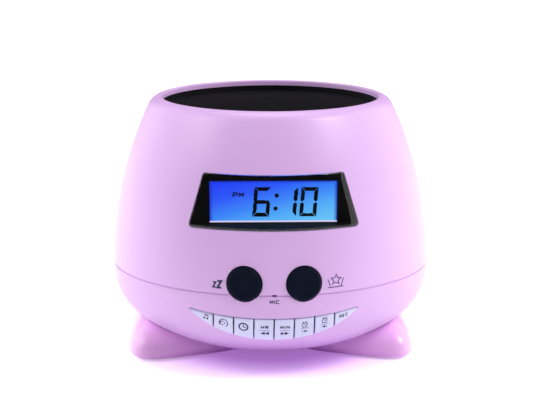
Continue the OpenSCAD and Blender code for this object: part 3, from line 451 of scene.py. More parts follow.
across_lcd = ranged(axes.outputs["X"], -LIT_HALF_W, LIT_HALF_W, 0.0, 0.45)
down_lcd = ranged(axes.outputs["Z"], LIT_TOP, LIT_LOW, 0.0, 0.55)
glow = add_node(tree, "ShaderNodeMath", {0: across_lcd, 1: down_lcd}, operation="ADD")
ramp = add_node(tree, "ShaderNodeValToRGB", {"Fac": glow.outputs[0]})
for place_on_ramp, colour in ((0.3, "#2e5cff"), (0.5, "#3c88ff"), (0.72, "#57b4ff")):
    ramp.color_ramp.elements.new(place_on_ramp).color = linear(colour)
ramp.color_ramp.elements[0].color = linear("#2039fb")
ramp.color_ramp.elements[-1].color = linear("#73d2ff")
sideways = add_node(tree, "ShaderNodeMath", {0: axes.outputs["X"]}, operation="ABSOLUTE")
side_dim = ranged(sideways.outputs[0], LIT_HALF_W - SIDE_FADE, LIT_HALF_W)
top_dim = ranged(axes.outputs["Z"], LIT_TOP - TOP_FADE, LIT_TOP)
edge_dim = add_node(tree, "ShaderNodeMath", {0: side_dim, 1: top_dim}, operation="MAXIMUM")
edged = add_node(tree, "ShaderNodeMix",
                 {0: edge_dim.outputs[0], 6: ramp.outputs["Color"], 7: linear("#1b33c4")}, data_type="RGBA")
bottom_line = ranged(axes.outputs["Z"], LIT_LOW + WHITE_LINE[0], LIT_LOW + WHITE_LINE[1])
lit = add_node(tree, "ShaderNodeMix", {0: bottom_line, 6: edged.outputs[2], 7: linear("#e6dcfb")},
               data_type="RGBA")
tree.links.new(lit.outputs[2], shader.inputs["Emission Color"])

# ---- Finishing and riding ----


def finish(piece, material, body, slot, *stands_for):
    piece.data.materials.clear()
    piece.data.materials.append(material)
    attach(piece, body)
    if stands_for:
        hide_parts(*stands_for)
    return piece


# ---- Key strip drawing ----
KEY_PITCH, KEY_GAP, KEY_COUNT = 8.95, 0.58, 8
STRIP_H, STRIP_LOW_R, STRIP_HIGH_R, STRIP_TIP, STRIP_TIP_R = 13.6, 73.0, 280.0, 37.4, 0.5
KEY_MARGIN = 0.35


def strip_low(u, grow=0.0):
    return STRIP_LOW_R - STRIP_H / 2 - math.sqrt((STRIP_LOW_R + grow) ** 2 - u * u)


def strip_high(u, grow=0.0):
    return STRIP_H / 2 - STRIP_HIGH_R + math.sqrt((STRIP_HIGH_R + grow) ** 2 - u * u)


def strip_region(left, right, grow, radius):
    """Round-cornered outline of the strip between two upright lines, bent to the strip's edges."""
    def chord(curve, u):
        share = (u - left) / (right - left)
        return curve(left, grow) * (1 - share) + curve(right, grow) * share

    corners = [(left, strip_high(left, grow)), (left, strip_low(left, grow)),
               (right, strip_low(right, grow)), (right, strip_high(right, grow))]
    bent = []
    for u, w in fillet(corners, radius, gap=0.8, steps=6):
        low, high = chord(strip_low, u), chord(strip_high, u)
        share = min(max((w - low) / (high - low), 0), 1)
        bent.append((u, w + (strip_low(u, grow) - low) * (1 - share) + (strip_high(u, grow) - high) * share))
    return bent


strip_outline = strip_region(-STRIP_TIP, STRIP_TIP, 0, STRIP_TIP_R)


# ---- Upper shell ----
LIP_EDGE, COLLAR_T, COLLAR_TOP = 1.0, 1.6, LIP_Z + 1.5
# The groove that both halves leave at the parting line: how deep, at which distance from the line.
SEAM_GROOVE = ((0.5, 0), (0.5, 0.16), (0.2, 0.22), (0.06, 0.34))
SEAM_ROUND, TONGUE_X, TONGUE_H, TONGUE_ROOM, TONGUE_ROOM_EASE = 0.6, 1.4, 1.8, 2, 1.95
seam_r = case_r(SEAM)
bore_r = OPENING_R + RIM_T + FIT
side_start = math.asin((SEAM + SEAM_ROUND - EQUATOR) / UPPER_R)
lip_end = math.acos((OPENING_R + LIP_EDGE - LIP_X) / LIP_R)
upper_outline = [(seam_r - deep, SEAM + away) for deep, away in SEAM_GROOVE]
upper_outline += arc(UPPER_X, EQUATOR, UPPER_R, side_start, LIP_START, 44)
upper_outline += arc(LIP_X, LIP_Z, LIP_R, LIP_START, lip_end, 20)[1:]
upper_outline += arc(OPENING_R + LIP_EDGE, BODY_H - LIP_EDGE, LIP_EDGE, math.radians(96), math.pi, 7)
upper_outline += [(OPENING_R, RIM_Z), (bore_r, RIM_Z), (bore_r, COLLAR_LOW_Z),
                  (bore_r + COLLAR_T, COLLAR_LOW_Z), (bore_r + COLLAR_T, COLLAR_TOP)]
room_start = math.asin((SEAM + TONGUE_ROOM - EQUATOR) / UPPER_R)
upper_outline += arc(UPPER_X, EQUATOR, UPPER_R - WALL, LIP_START, room_start, 40)
upper_outline += [(case_r(SEAM + TONGUE_ROOM, WALL / 2), SEAM + TONGUE_ROOM_EASE),
                  (case_r(SEAM, WALL / 2), SEAM)]
upper_shell = spun("upper_shell_moulding", upper_outline)

display_outline = fillet([(-38, 70), (38, 70), (31, 94), (-31, 94)], 1.6)
DOOR_HALF_W, DOOR_LOW, DOOR_HIGH, DOOR_CORNER = 28.4, 44.6, 98.1, 4.0
door_outline = fillet(box_corners(DOOR_HALF_W, DOOR_LOW, DOOR_HIGH), DOOR_CORNER)
MIC_W, MIC_H = 2.2, 0.9
mic_outline = fillet(box_corners(MIC_W / 2, SEAM - MIC_H / 2, SEAM + MIC_H / 2), 0.2, 0.4, 3)
HAIR, FITTINGS_TOP, FITTINGS_OVER_SEAM, FITTINGS_UNDER_SEAM = 0.1, 110.0, 2.5, 0.5


def inside_of_shell(low, high):
    """The room inside the walls between two heights, a hair clear of them."""
    count = 60
    levels = [low + (high - low) * k / count for k in range(count + 1)]
    sides = [(case_r(z, WALL + HAIR), z) for z in levels]
    return spun("inside", [(0, low)] + sides + [(0, high)], loop=False)


def fittings(node, *rooms):
    """The posts, ribs and ledges that the CAD node has inside the walls."""
    pieces = []
    for room in rooms:
        copy = bpy.data.objects.new("fittings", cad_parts[node].data.copy())
        bpy.context.collection.objects.link(copy)
        pieces.append(carve(copy, room, "INTERSECT"))
    return pieces


def shell_openings():
    """Cutters for what both halves of the case share: the button holes and the microphone's slot."""
    holes = [opening(button_face(side), circle(BUTTON_R + BUTTON_GAP), 0.3) for side in (-1, 1)]
    return holes + [opening(FRONT, mic_outline, 0.12)]


for cutter in [opening(FRONT, display_outline, 0.4), opening(BACK, door_outline, 0.35)] + shell_openings():
    carve(upper_shell, cutter)
upper_room = inside_of_shell(SEAM + FITTINGS_OVER_SEAM, FITTINGS_TOP)
upper_shell = joined("upper_shell_moulding", upper_shell, *fittings("upper_shell", upper_room))
finish(upper_shell, case_abs, "case", "case_plastic", "upper_shell")

# ---- Lower shell ----
lower_outline = [(0, CLEARANCE), (FLAT_R / 2, CLEARANCE)]
lower_outline += arc(FLAT_R, BELLY_Z, BELLY_R, -math.pi / 2, BELLY_END, 26)
lower_outline += arc(SIDE_X, EQUATOR, SIDE_R, BELLY_END, 0, 26)[1:]
lower_outline += [(case_r(SEAM - SEAM_ROUND), SEAM - SEAM_ROUND)]
lower_outline += [(seam_r - deep, SEAM - away) for deep, away in reversed(SEAM_GROOVE)]
lower_outline += [(seam_r - TONGUE_X, SEAM), (seam_r - TONGUE_X, SEAM + TONGUE_H),
                  (seam_r - WALL, SEAM + TONGUE_H), (seam_r - WALL, EQUATOR)]
lower_outline += arc(SIDE_X, EQUATOR, SIDE_R - WALL, 0, BELLY_END, 22)[1:]
lower_outline += arc(FLAT_R, BELLY_Z, BELLY_R - WALL, BELLY_END, -math.pi / 2, 24)[1:]
lower_outline += [(0, CLEARANCE + WALL)]
lower_shell = spun("lower_shell_moulding", lower_outline, loop=False)
GRILLE_R, GRILLE_PITCH, GRILLE_RINGS = 1.0, 3.8, 3
GRILLE_EDGE, GRILLE_FLARE, GRILLE_FROM, GRILLE_TO = 0.3, (0.5, 0.25), -3, 9


def grille_holes():
    """Three rings of round holes in the flat under the speaker."""
    places = [(0.0, 0.0)]
    for ring in range(1, GRILLE_RINGS + 1):
        for i in range(6 * ring):
            turn = math.tau * i / (6 * ring)
            places.append((ring * GRILLE_PITCH * math.cos(turn), ring * GRILLE_PITCH * math.sin(turn)))
    flare = [(GRILLE_R + GRILLE_FLARE[0], GRILLE_FROM), (GRILLE_R + GRILLE_FLARE[1], CLEARANCE),
             (GRILLE_R, CLEARANCE + GRILLE_EDGE), (GRILLE_R, GRILLE_TO)]
    hole = loop_piece("hole", [[(x, y, z) for x, y in circle(r, 20)] for r, z in flare])
    holes = []
    for x, y in places:
        copy = hole.copy()
        copy.data = hole.data.copy()
        bpy.context.collection.objects.link(copy)
        holes.append(place(copy, Matrix.Translation((x, y, 0))))
    bpy.data.objects.remove(hole)
    return joined("grille", *holes)


for cutter in [opening(STRIP, strip_outline, 0.3)] + shell_openings() + [grille_holes()]:
    carve(lower_shell, cutter)
lower_room = inside_of_shell(CLEARANCE + WALL + HAIR, SEAM - FITTINGS_UNDER_SEAM)
lower_shell = joined("lower_shell_moulding", lower_shell, *fittings("lower_shell", lower_room))
finish(lower_shell, case_abs, "case", "case_plastic", "lower_shell")

# ---- Smoked window in the top ----
window_r = OPENING_R + RIM_T
WINDOW_BEVEL, RIM_EASE, RIM_EASE_MID, WELL_EASE, WELL_EASE_MID = 0.3, 0.25, 0.07, 0.5, 0.15
window_outline = [(0, WINDOW_LOW_Z), (window_r - WINDOW_BEVEL, WINDOW_LOW_Z),
                  (window_r, WINDOW_LOW_Z + WINDOW_BEVEL), (window_r, RIM_Z),
                  (OPENING_R + RIM_EASE, RIM_Z), (OPENING_R + RIM_EASE_MID, RIM_Z - RIM_EASE_MID),
                  (OPENING_R, RIM_Z - RIM_EASE), (OPENING_R, WINDOW_Z + WELL_EASE),
                  (OPENING_R - WELL_EASE_MID, WINDOW_Z + WELL_EASE_MID), (OPENING_R - WELL_EASE, WINDOW_Z),
                  (OPENING_R * 0.66, WINDOW_Z), (OPENING_R * 0.33, WINDOW_Z), (0, WINDOW_Z)]
window = spun("smoked_window_moulding", window_outline, loop=False)
finish(window, smoked_pc, "case", "smoked_window", "top_window")

# ---- Display ----
lens = panel("display_lens_moulding", FRONT, shrink(display_outline, FIT), (0, 82), 0.0, WALL, 0.35)
finish(lens, clear_acrylic, "case", "clear_lens", "display_lens")

panel_low, panel_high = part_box("lcd_panel")
PANEL_FRONT = -panel_low.y / MM
LCD = Face((0, -PANEL_FRONT, 0), (1, 0, 0), (0, 0, 1), (0, -1, 0), (0, 1))


def flat_piece(name, face, outline, low, high, edge=0.0):
    """A flat plate on a drawing frame, from low to high along its outward axis, with an eased front edge."""
    rings = [level_ring(face, outline, low)]
    if edge:
        part = 0.3 * edge
        rings.append(level_ring(face, outline, high - edge))
        rings.append(level_ring(face, shrink(outline, part), high - part))
    rings += [level_ring(face, shrink(outline, edge) if edge else outline, high)]
    return loop_piece(name, rings)


half_w, low_z, high_z = panel_high.x / MM, panel_low.z / MM, panel_high.z / MM
lcd_outline = fillet(box_corners(half_w, low_z, high_z), 0.8, 6)
lcd = flat_piece("liquid_crystal_panel", LCD, lcd_outline, -(panel_high.y - panel_low.y) / MM, 0, 0.2)
finish(lcd, lcd_glass, "case", "lcd_glass", "lcd_panel")

# Seven-segment digits, slanted as the real ones are.
SLANT, DIGIT_H, DIGIT_W, BAR, BAR_GAP, DIGITS_MID = 0.08, 13.3, 7.5, 1.7, 0.13, 80.0
DYE_LOW, DYE_HIGH = 0.01, 0.06


def segment_shapes():
    """The seven bars of a digit round its middle: mitred at the corners, pointed at half height."""
    w, h, t, g = DIGIT_W, DIGIT_H / 2, BAR, BAR_GAP
    across = [(g, h), (w - g, h), (w - g - t, h - t), (g + t, h - t)]
    upright = [(0, h - g), (t, h - g - t), (t, g + t / 2), (t / 2, g), (0, g + t / 3)]
    middle = [(g, 0), (g + t / 2, t / 2), (w - g - t / 2, t / 2), (w - g, 0), (w - g - t / 2, -t / 2),
              (g + t / 2, -t / 2)]

    def mirrored(shape, x_way, z_way):
        return [(x if x_way > 0 else w - x, z_way * z) for x, z in shape]

    return {"a": across, "b": mirrored(upright, -1, 1), "c": mirrored(upright, -1, -1),
            "d": mirrored(across, 1, -1), "e": mirrored(upright, 1, -1), "f": upright, "g": middle}


def digit(letters, left, z):
    shapes = segment_shapes()
    return [[(left + x + SLANT * y, z + y) for x, y in shapes[letter]] for letter in letters]


def drawing(name, *shapes):
    """Flat faces, each a list of corners in the drawing, as one mesh."""
    corners, faces = [], []
    for shape in shapes:
        faces.append(list(range(len(corners), len(corners) + len(shape))))
        corners += [(p[0], p[1], 0) for p in shape]
    mesh = bpy.data.meshes.new(name)
    mesh.from_pydata(corners, [], faces)
    made = bpy.data.objects.new(name, mesh)
    bpy.context.collection.objects.link(made)
    return made


def stroke(points, width, closed=False):
    """A line of even width through points, as flat faces."""
    count = len(points)
    path = [Vector(p) for p in points]
    sides = []
    for i, p in enumerate(path):
        before = path[i - 1] if i or closed else None
        after = path[(i + 1) % count] if i < count - 1 or closed else None
        a = (p - before).normalized() if before is not None else (after - p).normalized()
        b = (after - p).normalized() if after is not None else a
        along = (a + b).normalized()
        spread = width / 2 / max(along.dot(a), 0.5)
        aside = Vector((-along.y, along.x)) * spread
        sides.append((p + aside, p - aside))
    faces = []
    for i in range(count if closed else count - 1):
        (a, b), (c, d) = sides[i], sides[(i + 1) % count]
        faces.append((a, b, d, c))
    return faces


LETTERS = {
    "C": [[(1, 0.82), (0.8, 1), (0.25, 1), (0, 0.8), (0, 0.2), (0.25, 0), (0.8, 0), (1, 0.18)]],
    "E": [[(1, 1), (0, 1), (0, 0), (1, 0)], [(0, 0.5), (0.85, 0.5)]],
    "H": [[(0, 0), (0, 1)], [(1, 0), (1, 1)], [(0, 0.5), (1, 0.5)]],
    "I": [[(0, 0), (0, 1)]],
    "M": [[(0, 0), (0, 1)], [(1, 0), (1, 1)], [(0.05, 0.95), (0.5, 0.35), (0.95, 0.95)]],
    "N": [[(0, 0), (0, 1)], [(1, 0), (1, 1)], [(0, 1), (1, 0)]],
    "P": [[(0, 0), (0, 1), (0.75, 1), (1, 0.85), (1, 0.6), (0.75, 0.45), (0, 0.45)]],
    "R": [[(0, 0), (0, 1), (0.75, 1), (1, 0.86), (1, 0.64), (0.75, 0.5), (0, 0.5)], [(0.55, 0.5), (1, 0)]],
    "Z": [[(0, 1), (1, 1), (0, 0), (1, 0)]],
    "1": [[(0, 0.72), (0.5, 1), (0.5, 0)]],
}


def lettering(words, centre, height, width, thick, lean=0.0):
    """Block letters of a given overall height and width, centred on a place of the drawing."""
    gap = 0.35 * thick + 0.08 * height
    narrow = sum(1 for letter in words if letter == "I")
    free = width - thick * len(words) - gap * (len(words) - 1)
    wide = free / max(len(words) - narrow, 1)
    x = centre[0] - width / 2 + thick / 2
    faces = []
    for letter in words:
        size = 0 if letter == "I" else wide
        for line in LETTERS[letter]:
            points = [(x + u * size, centre[1] + (w - 0.5) * (height - thick)) for u, w in line]
            faces += stroke([(u + lean * (w - centre[1]), w) for u, w in points], thick)
        x += size + thick + gap
    return faces


def thickened(piece, face, low, high, on_bowl):
    """Gives a flat drawing a thickness between two levels and lays it on its frame, or on the bowl."""
    edit(piece)
    bpy.ops.mesh.select_all(action="SELECT")
    bpy.ops.mesh.remove_doubles(threshold=0.002)
    bpy.ops.mesh.dissolve_limited(angle_limit=math.radians(0.1))
    bpy.ops.mesh.quads_convert_to_tris()
    if on_bowl:
        bpy.ops.mesh.subdivide(number_cuts=2)
    bpy.ops.mesh.normals_make_consistent(inside=False)
    bpy.ops.mesh.extrude_region_move()
    mesh = bmesh.from_edit_mesh(piece.data)
    upper = {v for v in mesh.verts if v.select}
    for v in mesh.verts:
        level = high if v in upper else low
        if on_bowl:
            v.co = face.on_case(v.co.x, v.co.y, -level) * MM
        else:
            v.co = (face.origin + v.co.x * face.across + v.co.y * face.up + level * face.outward) * MM
    bmesh.update_edit_mesh(piece.data)
    bpy.ops.mesh.select_all(action="SELECT")
    bpy.ops.mesh.normals_make_consistent(inside=False)
    leave_edit()
    return piece


# Bars of the 6, the 0 and the 1, each with its left edge; then the colon's dots and the half of the day.
TIME_BARS = (("acdefg", -8.85), ("abcdef", 11.85), ("bc", 3.0))
COLON_AT, COLON_R = ((1.5, 82.9), (0.95, 77.05)), 0.95
digits = []
for bars, left in TIME_BARS:
    digits += digit(bars, left, DIGITS_MID)
for x, z in COLON_AT:
    digits.append([(x + p, z + q) for p, q in circle(COLON_R, 24)])
digits += lettering("PM", (-15.45, 83.3), 2.4, 5.0, 0.55, 0.15)
segments = thickened(drawing("lit_segments", *digits), LCD, DYE_LOW, DYE_HIGH, False)
finish(segments, segment_dye, "case", "lcd_glass")

BORDER_LOW, BORDER_HIGH, BORDER_R, BORDER_W, BORDER_FILM = 70.2, 89.7, 1.1, 1.6, 0.04
inside = fillet(box_corners(LIT_HALF_W, BORDER_LOW, BORDER_HIGH), BORDER_R, 4.0, 6)
outside = shrink(inside, -BORDER_W)
rim = [(inside[k - 1], inside[k], outside[k], outside[k - 1]) for k in range(len(inside))]
border = thickened(drawing("printed_border", *rim), LCD, DYE_LOW, BORDER_FILM, False)
finish(border, segment_dye, "case", "lcd_glass")

# ---- Round buttons ----
BUTTON_PROUD, BUTTON_EDGE, BUTTON_DISH = 1.15, 1.0, 0.35
STEM_R, STEM_L, STEM_EASE, FLANGE_OUT, FLANGE_T, STOP_GAP = 2.0, 10, 0.2, 1.3, 1.2, 0.3
SIDE_EASE, DISH_EASE, DISH_STEPS = 0.25, 0.42, 9
button_face_r = case_r(BUTTON_Z) + BUTTON_PROUD
flange_r = BUTTON_R + FLANGE_OUT
flange_face = case_r(BUTTON_Z) - WALL - STOP_GAP - flange_r ** 2 / (2 * case_r(BUTTON_Z, WALL))
stem_end, flange_back = flange_face - STEM_L, flange_face - FLANGE_T
dish_rim = BUTTON_R - BUTTON_EDGE
button_outline = [(0, stem_end), (STEM_R - STEM_EASE, stem_end), (STEM_R, flange_face - (STEM_L - STEM_EASE)),
                  (STEM_R, flange_back), (flange_r, flange_back), (flange_r, flange_face),
                  (BUTTON_R, flange_face), (BUTTON_R, button_face_r - BUTTON_EDGE - SIDE_EASE)]
button_outline += arc(BUTTON_R - SIDE_EASE, button_face_r - BUTTON_EDGE - 0.15, SIDE_EASE,
                      0, math.radians(42), 4)[1:]
button_outline += arc(dish_rim - 0.1, button_face_r - DISH_EASE, DISH_EASE,
                      math.radians(48), math.radians(92), 5)
for k in range(1, DISH_STEPS + 1):
    share = 1 - k / DISH_STEPS
    button_outline.append((dish_rim * share, button_face_r - BUTTON_DISH * (1 - share ** 2)))
for side, name in ((-1, "snooze_button"), (1, "projector_button")):
    cap = spun(name + "_cap", button_outline, 96, loop=False)
    place(cap, facing(button_face(side)))
    finish(cap, button_abs, name, "button_plastic", name)

# ---- Keys ----
KEYS = ["music_key", "night_key", "clock_key", "hour_key", "minute_key", "alarm_one_key", "alarm_two_key",
        "record_key"]
KEY_PROUD, KEY_EDGE, KEY_CORNER, KEY_DEPTH = 0.7, 0.35, 0.45, 3.4


def key_piece(i, name):
    left = (i - KEY_COUNT / 2) * KEY_PITCH + KEY_GAP / 2
    right = (i + 1 - KEY_COUNT / 2) * KEY_PITCH - KEY_GAP / 2
    if i == 0:
        left = -STRIP_TIP + KEY_MARGIN
    if i == KEY_COUNT - 1:
        right = STRIP_TIP - KEY_MARGIN
    outline = strip_region(left, right, -KEY_MARGIN, KEY_CORNER)
    us, ws = [p[0] for p in outline], [p[1] for p in outline]
    middle = (sum(us) / len(us), sum(ws) / len(ws))
    return panel(name, STRIP, outline, middle, -KEY_PROUD, KEY_DEPTH, KEY_EDGE)


for i, name in enumerate(KEYS):
    cap = key_piece(i, name + "_cap")
    finish(cap, key_abs, name, "key_plastic", name)

# ---- Feet ----
FOOT_X, FOOT_HALF_L, FOOT_HALF_W, FOOT_FAN, FOOT_SQUARE = 38.5, 29.0, 31.8, 0.34, 4.6
FOOT_EDGE_Z, FOOT_CROWN_Z, FOOT_SOLE, PAD_PROUD, FOOT_GAP = 4.0, 22.0, 0.88, 0.4, 0.2
PAD_R, PAD_T, PAD_X, PAD_Y = 5.5, 1.5, 43.0, 21.0
SCREW_R, SCREW_X, SCREW_Y, HEAD_RECESS, PAST_FOOT = 1.4, 53.5, 17.0, 4.6, 30
FOOT_RINGS, FOOT_RING_STEP = 36, 5


def foot_ring(turn, sides=160):
    if turn < 0:
        size = FOOT_SOLE + (1 - FOOT_SOLE) * math.cos(turn)
        z = PAD_PROUD + (FOOT_EDGE_Z - PAD_PROUD) * (1 + math.sin(turn))
    else:
        size, z = math.cos(turn), FOOT_EDGE_Z + (FOOT_CROWN_Z - FOOT_EDGE_Z) * math.sin(turn)
    ring = []
    for i in range(sides):
        c, s = math.cos(math.tau * i / sides), math.sin(math.tau * i / sides)
        reach = (abs(c) ** FOOT_SQUARE + abs(s) ** FOOT_SQUARE) ** (-1 / FOOT_SQUARE)
        out, aside = reach * c, reach * s
        fan = 1 + FOOT_FAN * out
        ring.append((-FOOT_X - size * FOOT_HALF_L * out, size * FOOT_HALF_W * fan * aside, z))
    return ring


def bowl_solid(grow):
    """The bowl's outside as a solid, grown by grow."""
    outline = [(0, CLEARANCE - grow)] + arc(FLAT_R, BELLY_Z, BELLY_R + grow, -math.pi / 2, BELLY_END, 40)
    outline += arc(SIDE_X, EQUATOR, SIDE_R + grow, BELLY_END, 0, 40)[1:] + [(BODY_R + grow, 60), (0, 60)]
    return spun("bowl", outline, loop=False)


def drilled(piece, x, y, radius, high, low=-2.0):
    hole = loop_piece("hole", [[(x + u, y + v, z) for u, v in circle(radius, 48)] for z in (low, high)])
    return carve(piece, hole)


def foot_piece(name):
    turns = [math.radians(-90 + FOOT_RING_STEP * i) for i in range(FOOT_RINGS)]
    foot = loop_piece(name, [foot_ring(turn) for turn in turns])
    carve(foot, bowl_solid(FOOT_GAP))
    for side in (-1, 1):
        drilled(foot, -PAD_X, side * PAD_Y, PAD_R + FIT, PAD_T)
        drilled(foot, -SCREW_X, side * SCREW_Y, 2 * SCREW_R + 2 * FIT, HEAD_RECESS)
        drilled(foot, -SCREW_X, side * SCREW_Y, SCREW_R + FIT, PAST_FOOT)
    return foot


left_foot = foot_piece("left_foot_moulding")
right_foot = left_foot.copy()
right_foot.data = left_foot.data.copy()
bpy.context.collection.objects.link(right_foot)
right_foot.data.transform(Matrix.Scale(-1, 4, (1, 0, 0)))
right_foot.data.flip_normals()
right_foot.name = "right_foot_moulding"
finish(left_foot, foot_abs, "case", "foot_plastic", "left_foot")
finish(right_foot, foot_abs, "case", "foot_plastic", "right_foot")

# ---- Battery door ----
door = panel("battery_door_moulding", BACK, shrink(door_outline, FIT), (0, 70), 0.0, WALL, 0.35)
DOOR_SCREW_Z, DOOR_HEAD_R, DOOR_HOLE_R = DOOR_LOW + 3.5, 2.35, 1.25
screw_y = case_r(DOOR_SCREW_Z)
for radius, low in ((DOOR_HEAD_R, -WALL / 2), (DOOR_HOLE_R, -2 * WALL)):
    hole = loop_piece("hole", [[(x, screw_y + level, DOOR_SCREW_Z + z) for x, z in circle(radius, 48)]
                               for level in (low, CUT_PAST_OUTSIDE)])
    carve(door, hole)
TAB_X, TAB_W, TAB_LOW, TAB_HIGH = 14.0, 6.0, 95.7, 100.1
TAB_ROOT, TAB_FRONT, TAB_BACK = WALL - 0.4, WALL + FIT, WALL + 1.55
for side in (-1, 1):
    ends = [side * TAB_X - TAB_W / 2, side * TAB_X + TAB_W / 2]
    section = [(TAB_FRONT, TAB_LOW - 2), (TAB_ROOT, TAB_LOW - 2), (TAB_ROOT, DOOR_HIGH - 0.6),
               (TAB_FRONT, DOOR_HIGH + 0.2), (TAB_FRONT, TAB_HIGH), (TAB_BACK, TAB_HIGH),
               (TAB_BACK, TAB_LOW - 0.6)]
    tab = loop_piece("tab", [[tuple(BACK.on_case(x, z, inset)) for inset, z in section] for x in ends])
    door = joined("battery_door_moulding", door, tab)
finish(door, case_abs, "case", "case_plastic", "battery_door")

# ---- Printed marks ----
INK_ROOT, INK_PROUD = 0.08, 0.03


def mark(name, piece, face, body, level):
    """Ink on the bowl or on a key: a film that stands a little proud of its surface."""
    laid = thickened(piece, face, level - INK_ROOT, level + INK_PROUD, True)
    laid.name = name
    return finish(laid, ink, body, "key_plastic" if body != "case" else "case_plastic")


def star_points(x, z, outer, inner, turn=0.0):
    return [(x + r * math.sin(turn + math.pi * k / 5), z + r * math.cos(turn + math.pi * k / 5))
            for k in range(10) for r in [outer if k % 2 == 0 else inner]]


def moved(outline, x, z):
    return [(x + u, z + w) for u, w in outline]


def bar(x, z, width, height):
    low, high = z - height / 2, z + height / 2
    return [(x - width / 2, low), (x + width / 2, low), (x + width / 2, high), (x - width / 2, high)]


def arrow(x, z, length, height, way):
    back = x - way * length / 2
    return [(back, z - height / 2), (x + way * length / 2, z), (back, z + height / 2)]


def sleep_letters(x, z):
    """A small z and a big Z, bold."""
    small = [(x - 1.9 + 1.25 * u, z - 1.4 + 2.25 * w) for u, w in LETTERS["Z"][0]]
    large = [(x + 0.08 + 1.7 * u, z - 1.5 + 2.95 * w) for u, w in LETTERS["Z"][0]]
    return stroke(small, 0.72) + stroke(large, 0.95)


mark("snooze_mark", drawing("zz", *sleep_letters(-25.05, 46.2)), FRONT, "case", 0.0)
mark("microphone_mark", drawing("mic", *lettering("MIC", (0.1, 39.0), 1.85, 4.3, 0.42)), FRONT, "case", 0.0)
star_x, star_z = 27.35, 47.3
star_mark = drawing("star", *stroke(star_points(star_x, star_z + 0.4, 2.4, 1.1, 0.05), 0.42, True),
                    *stroke([(star_x - 3.65, star_z + 0.7), (star_x - 2.45, star_z - 2.4)], 0.4),
                    *stroke([(star_x + 3.4, star_z + 0.9), (star_x + 2.2, star_z - 2.8)], 0.4),
                    *stroke([(star_x - 3.6, star_z - 2.95), (star_x + 3.4, star_z - 2.75)], 0.4))
mark("star_light_mark", star_mark, FRONT, "case", 0.0)



def key_mark(name, key, *shapes):
    return mark(name, drawing(name, *shapes), STRIP, key, KEY_PROUD)


key_mark("hour_mark", "hour_key", *lettering("HR", (-4.2, 2.9), 1.95, 3.4, 0.5), bar(-4.2, 0.95, 4.4, 0.2),
         *[arrow(x, -1.0, 2.0, 2.3, -1) for x in (-5.1, -3.25)])
key_mark("minute_mark", "minute_key", *lettering("MIN", (4.8, 2.8), 1.95, 4.3, 0.44), bar(4.8, 0.8, 4.4, 0.2),
         *[arrow(x, -1.2, 2.0, 2.3, 1) for x in (3.95, 5.8)])
key_mark("record_mark", "record_key", *lettering("REC", (31.0, 3.45), 1.7, 3.9, 0.38))


def round_mark(x, z, radius, width, start=0.0, end=math.tau, aspect=1.1):
    """A ring, or part of one, drawn a little taller than wide because the strip leans back."""
    count = 28
    closed = end - start > 6.28
    points = [(x + radius * math.cos(start + (end - start) * k / count),
               z + aspect * radius * math.sin(start + (end - start) * k / count))
              for k in range(count if closed else count + 1)]
    return stroke(points, width, closed)


key_mark("clock_mark", "clock_key", *round_mark(-13.6, 2.2, 1.9, 0.72),
         *stroke([(-13.6, 3.5), (-13.6, 2.1), (-12.5, 2.1)], 0.45))
key_mark("night_mark", "night_key",
         *round_mark(-22.4, 2.6, 1.85, 0.42, math.radians(-60), math.radians(215)),
         *round_mark(-22.9, 2.5, 0.95, 0.4, math.radians(60), math.radians(300)),
         moved([(p, q * 1.2) for p, q in circle(0.32, 16)], -21.9, 2.6))
note_heads = [moved([(p, 0.8 * q) for p, q in circle(0.5, 18)], x, 2.6) for x in (-31.0, -29.7)]
key_mark("music_mark", "music_key", *note_heads, *stroke([(-30.6, 2.6), (-30.6, 4.5)], 0.32),
         *stroke([(-29.3, 2.6), (-29.3, 4.5)], 0.32), *stroke([(-30.76, 4.4), (-29.14, 4.4)], 0.5))


def alarm_sign(x, z, size):
    """A bell alarm clock: a ring with hands, two bells and two feet."""
    shapes = round_mark(x, z, size, 0.32) + stroke([(x, z + 0.7 * size), (x, z), (x + 0.55 * size, z)], 0.26)
    for side in (-1, 1):
        shapes.append(moved(circle(0.3 * size, 14), x + side * 0.6 * size, z + 1.28 * size))
        foot = [(x + side * 0.5 * size, z - 1.1 * size), (x + side * 0.7 * size, z - 1.45 * size)]
        shapes += stroke(foot, 0.24)
    return shapes


key_mark("alarm_one_mark", "alarm_one_key", *alarm_sign(13.55, 3.2, 1.15), bar(13.6, 1.2, 3.8, 0.18),
         *lettering("1", (12.75, -0.85), 1.6, 0.9, 0.3), arrow(14.3, -0.85, 1.7, 1.6, 1))
key_mark("alarm_two_mark", "alarm_two_key", *alarm_sign(22.45, 3.6, 1.1), bar(22.5, 1.55, 3.4, 0.18),
         arrow(22.0, 0.1, 1.7, 1.5, -1), bar(23.25, 0.1, 0.32, 1.2))

# ---- Finishes of the CAD's own pieces ----
CAD_FINISHES = {
    black_abs: ("display_frame", "star_mask", "board_parts", "button_switches"),
    nitrile: ("foot_pads", "microphone_grommet", "lcd_connectors"),
    zinc_steel: ("case_screws", "lamp_housing_screws", "board_screws", "door_screw", "battery_contacts",
                 "microphone", "speaker_basket"),
    ferrite: ("speaker_magnet",),
    inner_abs: ("lamp_housing", "battery_box", "lcd_backlight", "lamp_board"),
    clear_acrylic: ("projector_lens",),
    lamp_epoxy: ("lamp",),
    board_epoxy: ("main_board", "key_board"),
    silicone: ("key_sheet",),
    cone_paper: ("speaker_cone",),
    cell_film: ("batteries",),
}
for finish_material, names in CAD_FINISHES.items():
    for name in names:
        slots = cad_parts[name].data.materials
        slots.clear()
        slots.append(finish_material)

